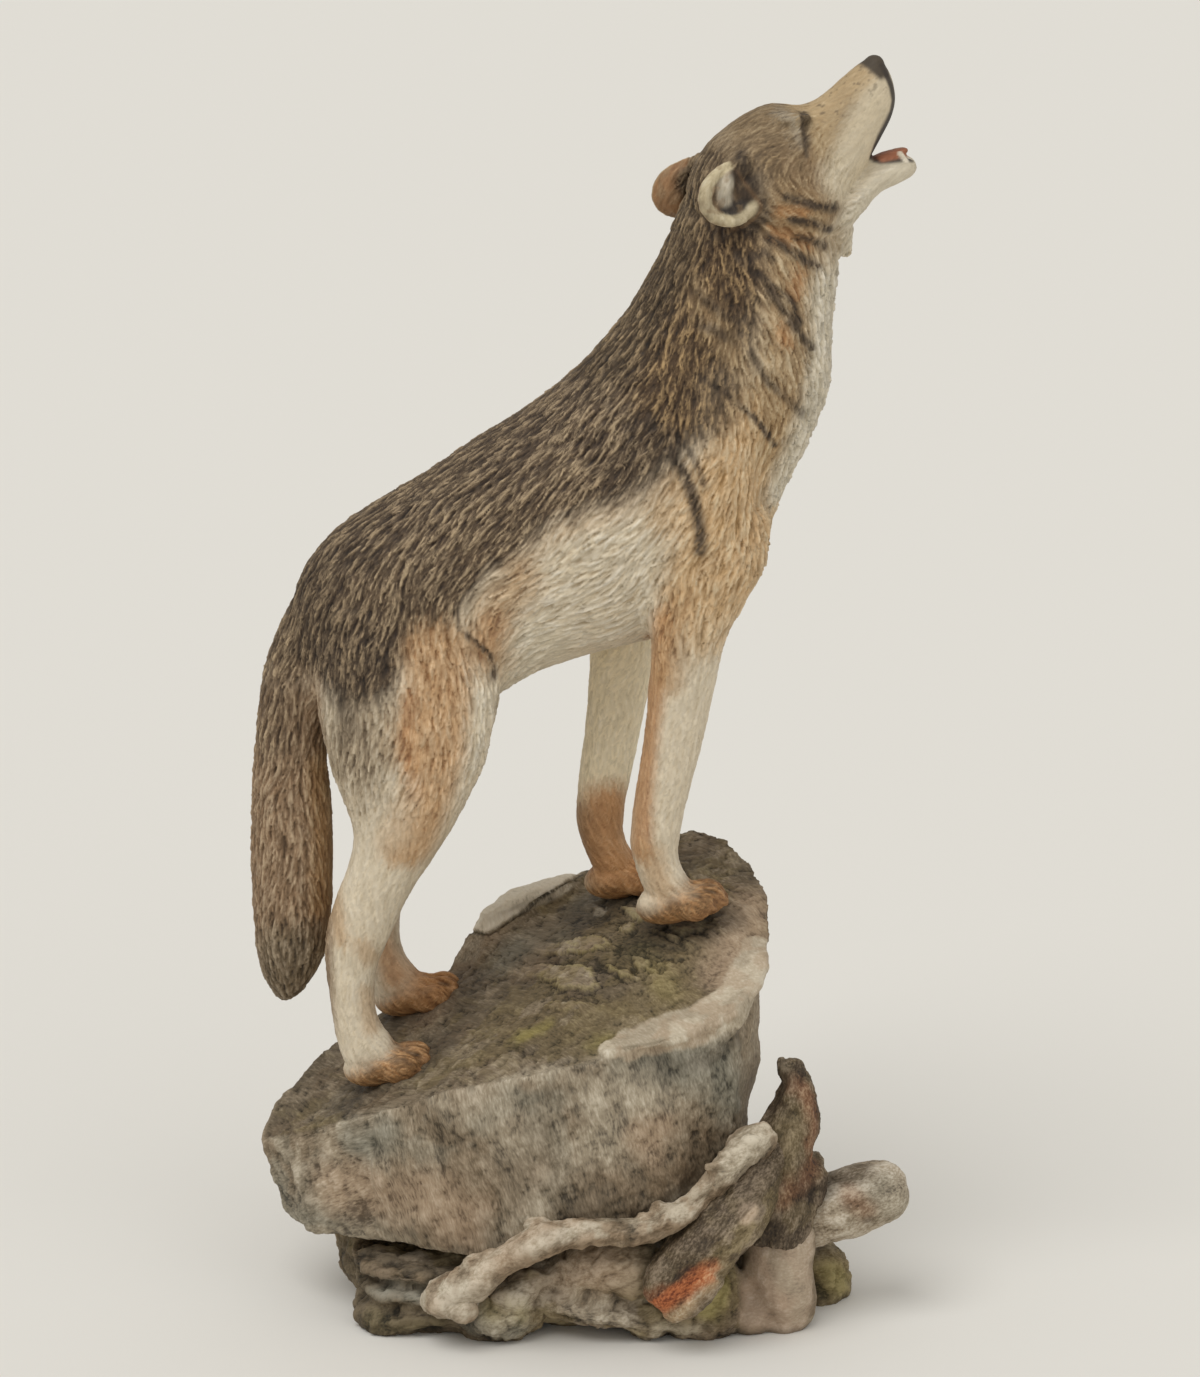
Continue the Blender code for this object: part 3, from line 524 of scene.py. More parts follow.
RUBBLE = (
    ((0, -4, 10), (50, 31, 15), (0, 0, 6)),
    ((-40, -20.5, 13.6), (17, 15, 3.6), (0, 6, 8)),
    ((-41, -22, 8.6), (15, 14.5, 3), (0, 3, 8)),
    ((-40, -23, 3.2), (16, 15, 5.6), (0, 0, 10)),
    ((-52, -7, 11), (8, 12, 9.5), (10, 0, 0)),
    ((-31, -39, 12), (4.5, 4.5, 3.6), (0, -20, 0)),
    ((-21.5, -34.5, 5.5), (11, 8.5, 8), (0, -8, -8)),
    ((-17, -36, 12), (8, 6, 4.5), (0, -24, 0)),
    ((5, -32.5, 16), (15, 10, 8.5), (0, -4, 0)),
    ((2, -35, 6.5), (14, 8, 4.5), (0, 12, 6)),
    ((14, -34.5, 4), (8, 7, 5), (0, 4, 6)),
    ((27, -31, 7), (10, 8.5, 11), (0, 14, 20)),
    ((22, -34, 3.5), (7, 6, 4.5), (0, 0, 10)),
    ((44.2, -27, 14), (8.2, 9.6, 21), (0, -3, 0)),
    ((38, -30, 3), (7, 6, 5), (0, 0, 10)),
    ((54, -8, 5), (8.5, 9, 8.5), (0, 0, 30)),
    ((38, 12, 9), (16, 14, 12), (0, 0, 20)),
    ((8, 22, 9), (19, 10, 13), (0, 0, -10)),
    ((-28, 16, 9), (20, 11, 12), (0, 0, 15)),
)
# The ledge's path: x, y, z and radius, in mm.
LEDGE = (
    (-36, -38, 9.5, 2.6), (-33, -41, 12, 4), (-26, -43, 18.5, 4), (-19, -44.5, 23, 3.2),
    (-10, -45.5, 28, 3.6), (2, -45.5, 30.3, 3), (11, -45, 30.6, 2.8), (17, -44.5, 32.3, 3.1),
    (24, -43, 36, 3.2), (29.5, -41.5, 41, 3.8), (35, -38.5, 46.5, 4.4), (39, -36.5, 50, 3.2),
)


def catmull_rom(a, b, c, d, t):
    bend = 2 * a - 5 * b + 4 * c - d
    twist = 3 * b - a - 3 * c + d
    return 0.5 * (2 * b + (c - a) * t + bend * t**2 + twist * t**3)


def smooth_rows(rows, steps):
    """Rows between the given ones, on a Catmull-Rom curve through them."""
    rows = np.array(rows, dtype=float)
    ends = np.vstack((rows[:1], rows, rows[-1:]))
    found = [
        catmull_rom(*ends[i:i + 4], step / steps)
        for i in range(len(rows) - 1)
        for step in range(steps)
    ]
    return found + [rows[-1]]


def stick(shape, path):
    """A round body along a path of x, y, z and radius, in mm."""
    rows = smooth_rows(path, 4)
    rings = []
    for i, (*place, radius) in enumerate(rows):
        along = Vector(rows[min(i + 1, len(rows) - 1)][:3] - rows[max(i - 1, 0)][:3])
        turn = Matrix.Translation(place) @ along.to_track_quat("Z", "Y").to_matrix().to_4x4()
        rings.append(bmesh.ops.create_circle(shape, segments=20, radius=radius, matrix=turn)["verts"])
    join_rings(shape, rings)


def sawn(mesh, name, cuts):
    """What is left of a closed skin behind its cuts, closed again. A cut is a point in mm and a normal."""
    shape = bmesh.new()
    shape.from_mesh(mesh)
    for point, normal in cuts:
        found = bmesh.ops.bisect_plane(
            shape, geom=[*shape.verts, *shape.edges, *shape.faces],
            plane_co=Vector(point) * MM, plane_no=normal, clear_outer=True,
        )
        edges = [cut for cut in found["geom_cut"] if isinstance(cut, bmesh.types.BMEdge)]
        for face in bmesh.ops.holes_fill(shape, edges=edges, sides=0)["faces"]:
            face.smooth = False
        for edge in edges:
            edge.smooth = False
    part = bpy.data.meshes.new(name)
    shape.to_mesh(part)
    shape.free()
    return part


def craggy(places, size, seed, octaves=4):
    """Sharp crests on sharp crests: a value from 0 to 1 at each place."""
    total, share, weights = np.zeros(len(places)), 1.0, 0.0
    for octave in range(octaves):
        total += share * (1 - abs(2 * lumps(places, size / 2**octave, seed + octave) - 1))
        weights += share
        share *= 0.55
    return total / weights


stones = bmesh.new()
for centre, radii, turn in RUBBLE:
    ball(stones, centre, radii, turn)
stones_skin = melt(((stones, 0.8 * MM, 1),), 0.62 * MM)
places, normals = points_of(stones_skin)
x, y, z = places.T
wedge = 1 - smoothstep(11, 13, np.hypot(x - 45, y + 29))
edge = broken(places * (1, 1, 1.4), 9, 84)[1]
layers = rough(drawn_out(places, (1, 0.3, 0.1), 0.75), 2.6, 85) - 0.5
layered = 1 - smoothstep(-36, -26, x)
crags = craggy(places, 6, 87) - 0.6
grain = rough(places, 2.2, 89) - 0.5
fine = (0.6 + 1.4 * layered) * layers + (1.0 - 0.5 * wedge) * grain + (2.2 - 1.6 * wedge) * crags
cracks = 1 - smoothstep(0.02, 0.08, edge)
out = fine + (1.5 - 0.5 * wedge) * facets(places, normals) - 0.4 * cracks * (1 - wedge)
put_points(stones_skin, places + normals * out[:, None])
relief = np.clip(0.55 + 0.75 * fine - 0.3 * cracks * (1 - wedge), 0, 1)

# The rosy grey of the broken piece below the stump.
ROSE = ("#7a6656", "#b09982", "#d0bdaa")

coat = Coat(places, STONE, 5.0)
coat.cover(SHADE, 0.3 * (1 - wedge))
coat.cover(EARTH, 0.6 * smoothstep(0.5, 0.6, rough(places, 9, 91)))
coat.cover(OLIVE, 0.75 * smoothstep(0.48, 0.56, rough(places, 7, 93)) * (1 - wedge))
coat.strokes((
    (EARTH, ((-60, -12, 12), (-54, -30, 10), (-42, -36, 9), (-33, -40, 6)), 10, 0.5, 0.8),
    (OLIVE, ((-58, -10, 12), (-54, -33, 7), (-42, -38, 4), (-34, -42, 3)), 6, 0.6, 0.75),
    (YELLOW_MOSS, ((-50, -33, 4), (-42, -38, 3), (-36, -37, 3)), 2.2, 0.9, 0.6),
    (YELLOW_MOSS, ((-57, -14, 15), (-52, -24, 15)), 1.4, 0.9, 0.4),
    (SHADE, ((-56, -24, 12), (-48, -33, 12.5), (-38, -38, 12)), 1.8, 0.8, 0.7),
    (SHADE, ((-60, -16, 8), (-52, -30, 8), (-42, -38, 8), (-30, -42, 6)), 9, 0.4, 0.75),
    (SLATE, ((-50, -33, 11), (-38, -36, 11)), 2.2, 0.9, 0.8),
    (SHADE, ((-52, -25, 16), (-42, -33, 17), (-32, -32, 16), (-24, -33, 17)), 3, 0.6, 0.9),
    (CREAM_STONE, ((-35, -42, 11), (-31, -44, 12.5), (-28, -44, 10)), 3.6, 0.8, 0.8),
    (YELLOW_MOSS, ((-22, -43, 8), (-17, -43, 8)), 3, 0.9, 0.6),
    (SLATE, ((-28, -42, 4), (-14, -42, 3)), 3.5, 0.7, 0.7),
    (SHADE, ((-28, -42, 8), (-27, -42, 2)), 1.6, 0.9, 0.6),
    (PALE_GREY, ((-24, -43, 2), (-16, -43, 13), (-10, -42, 9)), 2.6, 0.8, 0.5),
    (EARTH, ((0, -42, 20), (8, -42, 20)), 8, 0.4, 0.3),
    (PINK_TAN, ((-5, -42, 17), (4, -43, 21)), 6.5, 0.8, 0.75),
    (PALE_GREY, ((-6, -43, 11), (2, -43, 8), (10, -43, 6)), 3, 0.7, 0.7),
    (OLIVE, ((20, -40, 6), (31, -38, 12), (34, -36, 18)), 6, 0.6, 0.8),
    (YELLOW_MOSS, ((27, -39, 9), (31, -38, 14)), 2.6, 0.9, 0.8),
    (PALE_GREY, ((16, -41, 3), (24, -40, 3)), 2.6, 0.8, 0.6),
    (ROSE, ((44, -36, 8), (44, -36, 18), (44, -36, 30)), 9, 0.25, 1),
    (PALE_GREY, ((48, -34, 6), (49, -34, 26)), 3, 0.9, 0.5),
    (EARTH, ((40, -37, 6), (42, -37, 3)), 4, 0.9, 0.5),
    (PALE_GREY, ((41, -37, 24), (46, -36, 12)), 2.4, 0.9, 0.5),
    (OLIVE, ((56, -14, 5), (58, -8, 7)), 8, 0.4, 0.8),
    (YELLOW_MOSS, ((57, -18, 10), (61, -14, 5)), 4, 0.8, 0.6),
))
coat.cover(SHADE, 0.45 * (1 - smoothstep(0.2, 2.2, z)))
flow = drawn_out(places, (1, 0.3, 0.1), 0.45)
lay_paint(stones_skin, coat, relief, flow, 1 - 0.4 * wedge)
# ground flat on the underside, just above the floor
UNDERSIDE = ((0, 0, 0.02), (0, 0, -1))
finished("plinth_stones", sawn(stones_skin, "plinth_stones", (UNDERSIDE,)), stone_paint)

ledge = bmesh.new()
stick(ledge, LEDGE)
rng = np.random.default_rng(99)
for centre, radii in (
    ((-33.5, -43, 12), (4.6, 3, 3.4)),
    ((-29.5, -44.5, 10.5), (2.8, 2.4, 3)),
    ((37, -37.5, 48.2), (5.6, 2.8, 4.2)),
):
    ball(ledge, centre, radii, turn=(0, -38, 0))
for *place, radius in smooth_rows(LEDGE, 5):
    place = Vector(place) + Vector(rng.uniform(-1, 1, 3)) * radius * 0.62
    size = radius * rng.uniform(0.35, 0.75)
    ball(ledge, place, (size * 1.5, size, size * 0.9), turn=rng.uniform(-60, 60, 3))
ledge_skin = melt(((ledge, 0.6 * MM, 1),), 0.5 * MM)
places, normals = points_of(ledge_skin)
grain = rough(places, 1.8, 103, 3) - 0.5
fine = 1.0 * grain + 2.0 * (craggy(drawn_out(places, (1, 0, 0.45), 0.5), 5, 105) - 0.6)
out = fine + facets(places, normals) + 1.8 * (rough(places, 7, 104, 2) - 0.5)
put_points(ledge_skin, places + normals * out[:, None])
relief = np.clip(0.56 + 0.75 * fine, 0, 1)
everywhere = np.ones(len(places))
coat = Coat(places, PALE_GREY, 3.5)
coat.cover(STONE, 0.45 * everywhere)
coat.cover(STONE, 0.8 * smoothstep(0.46, 0.56, rough(places, 5, 107)))
coat.cover(EARTH, 0.7 * smoothstep(0.52, 0.6, rough(places, 4, 108)))
coat.cover(PINK_TAN, 0.5 * smoothstep(0.52, 0.6, rough(places, 6, 109)))
coat.cover(EARTH, 0.7 * smoothstep(0.58, 0.68, rough(places, 3, 110, 2)))
# painted shade: the ledge's undersides, which face down, are darkened with the earth brown
coat.cover(EARTH, 0.8 * smoothstep(-0.2, 0.5, -normals[:, 2]))
coat.strokes((
    (CREAM_STONE, ((-36, -40, 10), (-32, -44, 12), (-24, -45, 20)), 2.8, 0.8, 0.6),
    (CREAM_STONE, ((-18, -48, 26), (-8, -49, 30), (0, -49, 33)), 1.4, 0.8, 0.4),
    (PINK_TAN, ((-24, -47, 21), (-17, -48, 26)), 2.2, 0.9, 0.5),
    (PALE_GREY, ((37, -40, 49), (33, -42, 44)), 3.4, 0.5, 0.9),
))
lay_paint(ledge_skin, coat, relief, drawn_out(places, (1, 0, 0.45), 0.4), everywhere)
finished("pale_ledge", ledge_skin, stone_paint)

# The driftwood
# A snapped stump, a fallen branch with a fresh red break and a bleached log, modelled with a comb for the
# wood's fibres, cast with the stones and washed with brown.

BARK = ("#20170f", "#463929", "#7d6d5a")
GREY_BARK = ("#31281b", "#65563d", "#9c8c74")
BLEACHED = ("#63543f", "#a2937d", "#cbc0ad")
RUSTY_BARK = ("#3f2212", "#7a4f34", "#a88565")
RED_WOOD = ("#70341a", "#b5683c", "#d8a276")
SPLINTER = ("#8c6a48", "#c4a883", "#ddccb2")

# matt acrylic paint over fine combed fibres
wood_paint = painted("painted_driftwood", grain=0.5, roughness=0.68, speckle=1.8, dent=0.14)


def combed_wood(mesh, axis, depth, seed):
    """Draws fibres along the wood and breaks its bark. Gives back its places, how high each stands, from 0
    to 1, and coordinates that are squeezed along the fibres."""
    places, normals = points_of(mesh)
    axis = np.array(axis) / np.linalg.norm(axis)
    wander = 3.0 * (rough(places, 7, seed, 3) - 0.5)
    squeezed = drawn_out(places, axis, 0.7) + wander[:, None] * (1.0, 0.6, 0.2)
    fibres = 0.55 * rough(squeezed, 1.4, seed + 1, 3) + 0.45 * rough(squeezed, 3.4, seed + 2, 2) - 0.5
    bark = craggy(drawn_out(places, axis, 0.25), 5, seed + 4) - 0.6
    knots = rough(places, 7, seed + 3, 3) - 0.5
    out = depth * (1.6 * fibres + 3.6 * bark + 3.0 * knots) + 0.8 * facets(places, normals)
    put_points(mesh, places + normals * out[:, None])
    relief = 0.52 + 1.3 * fibres + 1.3 * depth * bark + 0.8 * knots
    return places, np.clip(relief, 0, 1), drawn_out(places, axis, 0.45)


stump = bmesh.new()
stick(stump, (
    (41, -30, 22, 8), (42.5, -29.5, 32, 9), (43.6, -28.5, 40, 8.2), (45.8, -27.5, 48, 6.8),
    (47.6, -26.5, 55, 5.4), (47.4, -26, 60, 3.9), (46, -26, 64.2, 2),
))
stick(stump, ((49.5, -27, 52, 3.2), (50.6, -26.5, 58.5, 1.8)))
stick(stump, ((43.4, -26.5, 60.5, 1), (44.2, -26.2, 65.6, 0.9)))
stick(stump, ((45, -26, 35, 5.5), (50, -25, 37.6, 4.2), (54, -24.5, 38.2, 3)))
ball(stump, (51, -26.5, 51), (2.4, 3, 7), turn=(0, -4, 0))
ball(stump, (49, -27.5, 36), (6, 5, 6), turn=(0, 30, 0))
ball(stump, (46.6, -35.5, 36), (1.4, 1.6, 7), turn=(0, 6, 0))
stump_skin = melt(((stump, 0.7 * MM, 2),), 0.5 * MM)
places, relief, flow = combed_wood(stump_skin, (0.16, 0.1, 1.0), 0.62, 121)
coat = Coat(places, BARK, 4.0)
coat.cover(GREY_BARK, 0.7 * smoothstep(0.48, 0.56, rough(places, 6, 127)))
coat.strokes((
    (GREY_BARK, ((45, -36, 42), (50, -32, 46)), 4, 0.8, 0.6),
    (OLIVE, ((41, -34, 34), (44, -36, 42), (46, -33, 52)), 4, 0.8, 0.5),
    (RUSTY_BARK, ((44, -31, 62), (49, -30, 60), (52, -30, 54), (51, -31, 46)), 2, 0.9, 0.7),
    (RUSTY_BARK, ((50, -31, 40), (44, -37, 36)), 3, 0.9, 0.6),
    (RED_WOOD, ((53, -30, 43), (56, -28, 42)), 1.5, 0.9, 0.35),
    (SHADE, ((44, -27, 63), (47, -27, 60)), 2.6, 0.8, 0.7),
    (SHADE, ((41, -36, 33), (43, -37, 39)), 1.8, 0.9, 0.5),
))
lay_paint(stump_skin, coat, relief, flow, np.ones(len(places)))
finished("stump", stump_skin, wood_paint)

branch = bmesh.new()
stick(branch, (
    (43, -31, 46, 3), (40.5, -34, 41.5, 5.6), (35.5, -38, 34.5, 7.4), (28, -41, 26.5, 7.8),
    (21.5, -43.4, 19.5, 7), (17.2, -45.4, 15.2, 5.4), (15, -46.2, 13, 3.6),
))
stick(branch, ((27, -45.5, 20.5, 4.4), (22, -46.6, 13.5, 3.4), (17.8, -46.8, 9.6, 1.4)))
ball(branch, (36.4, -43.6, 34.8), (2.8, 2.2, 2.4))
branch_skin = melt(((branch, 0.6 * MM, 2),), 0.48 * MM)
places, relief, flow = combed_wood(branch_skin, (0.68, 0.28, 0.68), 0.42, 131)
x, y, z = places.T
coat = Coat(places, GREY_BARK, 4.0)
coat.cover(OLIVE, 0.7 * smoothstep(0.46, 0.56, rough(places, 6, 133)))
coat.cover(BARK, 0.7 * smoothstep(0.52, 0.6, rough(places, 5, 135)))
coat.strokes((
    (PINK_TAN, ((36.4, -46, 34.8), (37, -46, 35)), 2, 0.5, 0.9),
    (SPLINTER, ((31, -50, 23), (26, -51, 17), (20, -51, 10)), 2.4, 0.8, 0.85),
    (RED_WOOD, ((29, -52, 22.5), (22, -52, 18), (16, -51, 14), (12, -48, 12)), 3.8, 0.35, 0.9),
    (SPLINTER, ((28, -52, 17.5), (22, -52, 13), (17, -51, 9.5)), 2.6, 0.6, 0.85),
    (RUSTY_BARK, ((20, -52, 20), (15, -51, 16)), 1, 0.9, 0.7),
    (SPLINTER, ((17, -52, 13), (15, -50, 10)), 1.2, 0.9, 0.5),
))
coat.cover(BARK, 0.7 * smoothstep(0.1, 0.8, (z - 22) - 0.9 * (x - 27) + 3 * rough(places, 4, 137) - 5.5))
lay_paint(branch_skin, coat, relief, flow, np.ones(len(places)))
finished("fallen_branch", branch_skin, wood_paint)

log = bmesh.new()
stick(log, (
    (40, -22, 20, 7), (50, -21.4, 24, 7.6), (60, -20.2, 27.6, 8.1), (67.5, -19.2, 30, 8),
    (71.6, -18.8, 30.8, 6.6), (73.6, -18.6, 31, 4.2),
))
ball(log, (66.5, -20.5, 31.5), (5.4, 6.6, 6.2))
log_skin = melt(((log, 0.7 * MM, 2),), 0.5 * MM)
places, relief, flow = combed_wood(log_skin, (1.0, 0.1, 0.3), 0.34, 141)
coat = Coat(places, BLEACHED, 4.0)
coat.cover(GREY_BARK, 0.7 * smoothstep(0.5, 0.58, rough(places, 7, 143)))
coat.strokes((
    (BARK, ((48, -24, 32), (56, -24, 36), (62, -24, 38)), 4, 0.7, 0.7),
    (RUSTY_BARK, ((60, -28, 33), (65, -28, 29)), 2.2, 0.9, 0.5),
    (SLATE, ((68, -26, 33), (72, -24, 29)), 4, 0.9, 0.5),
    (PALE_GREY, ((71, -25, 30), (73, -22, 28)), 4, 0.7, 0.6),
    (SHADE, ((65, -29, 26), (67, -28, 23)), 1.3, 0.9, 0.9),
    (SHADE, ((48, -28, 30), (50, -29, 22)), 2.6, 0.8, 0.6),
))
lay_paint(log_skin, coat, relief, flow, np.ones(len(places)))
finished("bleached_log", log_skin, wood_paint)

# The wolf
# Modelled in clay on the boulder, its coat cut lock by lock with a loop tool, and cast with the stone in one
# pour. It stands with its right side towards the viewer, looks up, and turns its head a little away.

# How it stands, in mm. The soles are sunk a little into the stone.
STANCE_WIDTH = 26.5
HIP_X = -44.0
HIP_Z = 160.0
SHOULDER_Z = 190.0
NEAR_SHOULDER_X = 27.0
FAR_SHOULDER_X = 12.4
PAW_SIZE = Vector((21.0, 14.5, 9.0))
PAW_SINK = 1.2

HEAD_CENTRE = Vector((45.2, 2.0, 275.2))
HEAD_PITCH = math.radians(36.0)
HEAD_YAW = math.radians(14.0)

# Half widths, in mm.
RUMP, WAIST, CHEST, NECK_WIDTH = 17.5, 18.5, 20.5, 17.5
SKULL_WIDTH, MUZZLE, JAW_WIDTH, TAIL_WIDTH = 14.0, 6.2, 5.0, 9.4

# Stations of the trunk and the tail, in mm: x and z of the upper edge and of the lower one, the half width
# across, and y of the middle.
TRUNK = (
    (-70.5, 161, -61, 141, RUMP * 0.45, 0), (-66.5, 174.5, -49, 134, RUMP * 0.8, 0),
    (-60, 183.5, -36, 136, RUMP, 0), (-50.5, 190.5, -24.5, 143.5, WAIST, 0),
    (-39, 197.4, -14, 150.5, WAIST, 0), (-25.2, 206.7, -3, 154.5, CHEST * 0.97, 0),
    (-13.7, 213.7, 10, 158, CHEST, 0), (-3, 222.5, 24, 162.5, CHEST, 0),
    (4.5, 231, 37, 174, CHEST * 0.93, 0), (10, 238, 43.3, 191.5, NECK_WIDTH * 1.03, 0),
    (14, 245, 50.5, 207, NECK_WIDTH, 0), (17.7, 252.8, 54.6, 219.5, NECK_WIDTH, 0.5),
    (20.4, 258.9, 55, 232, NECK_WIDTH * 0.97, 1), (23.8, 265.5, 56.2, 244, NECK_WIDTH * 0.86, 2.5),
    (29, 271.5, 56.8, 250.8, NECK_WIDTH * 0.7, 4),
)
TAIL = (
    (-62, 179, -50, 165, TAIL_WIDTH * 0.6, 0), (-71, 164.4, -56, 152, TAIL_WIDTH * 0.78, 0),
    (-75.4, 152.5, -59.5, 141.5, TAIL_WIDTH * 0.85, 0), (-77.3, 142, -61.5, 131, TAIL_WIDTH * 0.9, 0),
    (-78.9, 124.8, -60.6, 120, TAIL_WIDTH * 0.95, 0), (-79.6, 107, -60.4, 105.3, TAIL_WIDTH, 0),
    (-79.2, 90, -61.4, 88, TAIL_WIDTH * 0.96, 0), (-77.8, 79.5, -64, 79.5, TAIL_WIDTH * 0.78, 0),
    (-75.4, 73.6, -67.5, 74.2, TAIL_WIDTH * 0.45, 0), (-73.4, 70.8, -71, 70.8, TAIL_WIDTH * 0.12, 0),
)

# A leg's rows: where the front edge lies, as a share of the drop from joint to sole and a reach in mm, the
# rear edge alike, and the half width in mm.
HIND_LEG = (
    (-0.05, 18, -0.08, -17, 7), (0.08, 22.6, 0.08, -19, 9.2), (0.18, 22.2, 0.25, -15.7, 9.5),
    (0.28, 19.8, 0.35, -11.9, 8.8), (0.38, 15.2, 0.43, -9.6, 7.8), (0.47, 9.9, 0.50, -10.8, 6.5),
    (0.56, 4.2, 0.58, -13.8, 5.6), (0.65, 0, 0.64, -15.4, 5.2), (0.73, -3.1, 0.71, -15.7, 5),
    (0.80, -3.8, 0.81, -14.4, 5), (0.86, -2.6, 0.89, -13, 5.3), (0.90, 0.3, 0.95, -11.1, 5.9),
    (0.94, 2.8, 0.99, -8.1, 5.4),
)
FRONT_LEG = (
    (0.00, 14, -0.02, -12, 7), (0.10, 13.8, 0.13, -14.6, 8.4), (0.21, 9.7, 0.23, -13.1, 8.2),
    (0.295, 5.7, 0.31, -11.3, 7.3), (0.41, 4, 0.42, -11.4, 6.4), (0.54, 2.2, 0.55, -11.8, 5.9),
    (0.68, -0.2, 0.68, -12.9, 5.5), (0.78, -1.7, 0.80, -13.6, 5.5), (0.85, -1.7, 0.85, -12.4, 5.3),
    (0.895, 0.6, 0.905, -10.4, 5.6), (0.935, 3.1, 0.955, -8.2, 5.6),
)

# In the head's own frame, x towards the nose and z towards the crown: x, upper z, lower z and half width.
SKULL = (
    (-29, 0, -12, SKULL_WIDTH * 0.5), (-24, 6, -17, SKULL_WIDTH * 0.82),
    (-17, 9.6, -21, SKULL_WIDTH * 0.98), (-10, 10.3, -22.5, SKULL_WIDTH),
    (-4, 9.8, -22.5, SKULL_WIDTH * 0.93), (1, 8.2, -20.5, SKULL_WIDTH * 0.82),
    (5.2, 4.4, -18.5, SKULL_WIDTH * 0.66), (9, 2.8, -16.8, MUZZLE * 1.28), (13, 2.6, -15, MUZZLE * 1.12),
    (17, 2.9, -13.2, MUZZLE), (21, 3.1, -11.2, MUZZLE * 0.9), (24, 2.9, -8.6, MUZZLE * 0.76),
    (25.8, 1.8, -5.2, MUZZLE * 0.54), (26.6, 0.2, -2.6, MUZZLE * 0.25),
)
JAW = (
    (-9, -14, -24, JAW_WIDTH * 1.8), (-2, -15, -25, JAW_WIDTH * 1.75), (4, -16, -24, JAW_WIDTH * 1.45),
    (9, -16.6, -23.4, JAW_WIDTH * 1.15), (13.5, -17.6, -24.4, JAW_WIDTH),
    (16.8, -19.3, -25, JAW_WIDTH * 0.84), (19, -20.6, -24.6, JAW_WIDTH * 0.6),
    (19.8, -21.6, -23.4, JAW_WIDTH * 0.3),
)
TONGUE = (
    (10, -15.6, -18, 2.8), (14, -16.3, -18.4, 2.7), (17.5, -17.6, -19.6, 2.4), (20.2, -18.9, -20.2, 1.5),
)
# An ear's rim, from its front end over the tip and down to its rear end: x, y, z and radius.
EAR_RIM = (
    (-15.2, 11, 6.3, 0.7), (-17.8, 12.4, 7, 0.8), (-20.8, 13.4, 7.3, 1), (-24, 14.4, 6.7, 1.3),
    (-26.3, 15, 5, 1.5), (-27.4, 15.4, 2.6, 1.6), (-27, 15.6, -0.2, 1.5), (-25.2, 15.3, -2.8, 1.3),
    (-22.8, 14.8, -4.3, 1.15), (-20, 13.8, -4.7, 1.1), (-17.4, 12.2, -4, 1), (-15.8, 11, -2.6, 0.9),
)
# The left ear is laid further back than the right one.
FAR_EAR_DROP = Vector((-3.4, 0.0, -0.1))


def loft(shape, stations, matrix=Matrix.Identity(4)):
    """A closed body through oval sections."""
    rings = []
    for xa, za, xb, zb, half, y in smooth_rows(stations, 4):
        across = Vector((xa - xb, 0, za - zb)) / 2
        normal = across.normalized().cross(Vector((0, 1, 0)))
        place = Matrix((
            (across.x, 0, normal.x, (xa + xb) / 2),
            (0, half, 0, y),
            (across.z, 0, normal.z, (za + zb) / 2),
            (0, 0, 0, 1),
        ))
        ring = bmesh.ops.create_circle(shape, segments=36, radius=1.0, matrix=matrix @ place)
        rings.append(ring["verts"])
    join_rings(shape, rings)


def leg(shape, rows, joint_x, joint_z, paw_x, side):
    """A leg from its joint down to its paw. The side is -1 for the near legs and 1 for the far ones."""
    y = side * STANCE_WIDTH / 2
    sole = slab_top(paw_x, y) - PAW_SINK
    drop = joint_z - sole

    def edge(share, reach):
        return (joint_x + (paw_x - joint_x) * share + reach, joint_z - drop * share)

    stations = []
    for *front, rear_share, rear_reach, half in rows:
        tuck = 0.82 + 0.18 * min(max(front[0] / 0.3, 0), 1)
        stations.append((*edge(*front), *edge(rear_share, rear_reach), half, y * tuck))
    loft(shape, stations)


# The tips of the claws, which paw() fills in.
CLAWS = []


def paw(shape, paw_x, side):
    """A broad pad with four toes and their claws. Shares are of the paw's length, width and height."""
    y = side * STANCE_WIDTH / 2
    slope = math.atan(SLAB_RISE_FORWARD) * 0.45
    place = Matrix.Translation((paw_x, y, slab_top(paw_x, y) - PAW_SINK)) @ Matrix.Rotation(-slope, 4, "Y")

    def lump(centre, radii):
        centre, radii = (Vector([c * s for c, s in zip(v, PAW_SIZE)]) for v in (centre, radii))
        ball(shape, centre, radii, matrix=place)

    lump((-0.08, 0, 0.50), (0.40, 0.43, 0.56))
    for toe in (-1, 1):
        lump((0.30, toe * 0.15, 0.42), (0.22, 0.165, 0.43))
        lump((0.17, toe * 0.355, 0.38), (0.21, 0.155, 0.38))
        lump((0.50, toe * 0.15, 0.24), (0.06, 0.04, 0.13))
        lump((0.37, toe * 0.38, 0.22), (0.06, 0.04, 0.12))
        CLAWS.extend(place @ Vector(tip) for tip in ((11.2, toe * 2.2, 2.2), (8.6, toe * 5.5, 2.0)))


def head_frame():
    forward = Vector((
        math.cos(HEAD_PITCH) * math.cos(HEAD_YAW),
        math.cos(HEAD_PITCH) * math.sin(HEAD_YAW),
        math.sin(HEAD_PITCH),
    ))
    left = Vector((-math.sin(HEAD_YAW), math.cos(HEAD_YAW), 0))
    turn = Matrix((forward, left, forward.cross(left))).transposed().to_4x4()
    return Matrix.Translation(HEAD_CENTRE) @ turn


HEAD = head_frame()
LIMBS = (
    (-1, NEAR_SHOULDER_X, *PAWS_X[0]),
    (1, FAR_SHOULDER_X, *PAWS_X[1]),
)

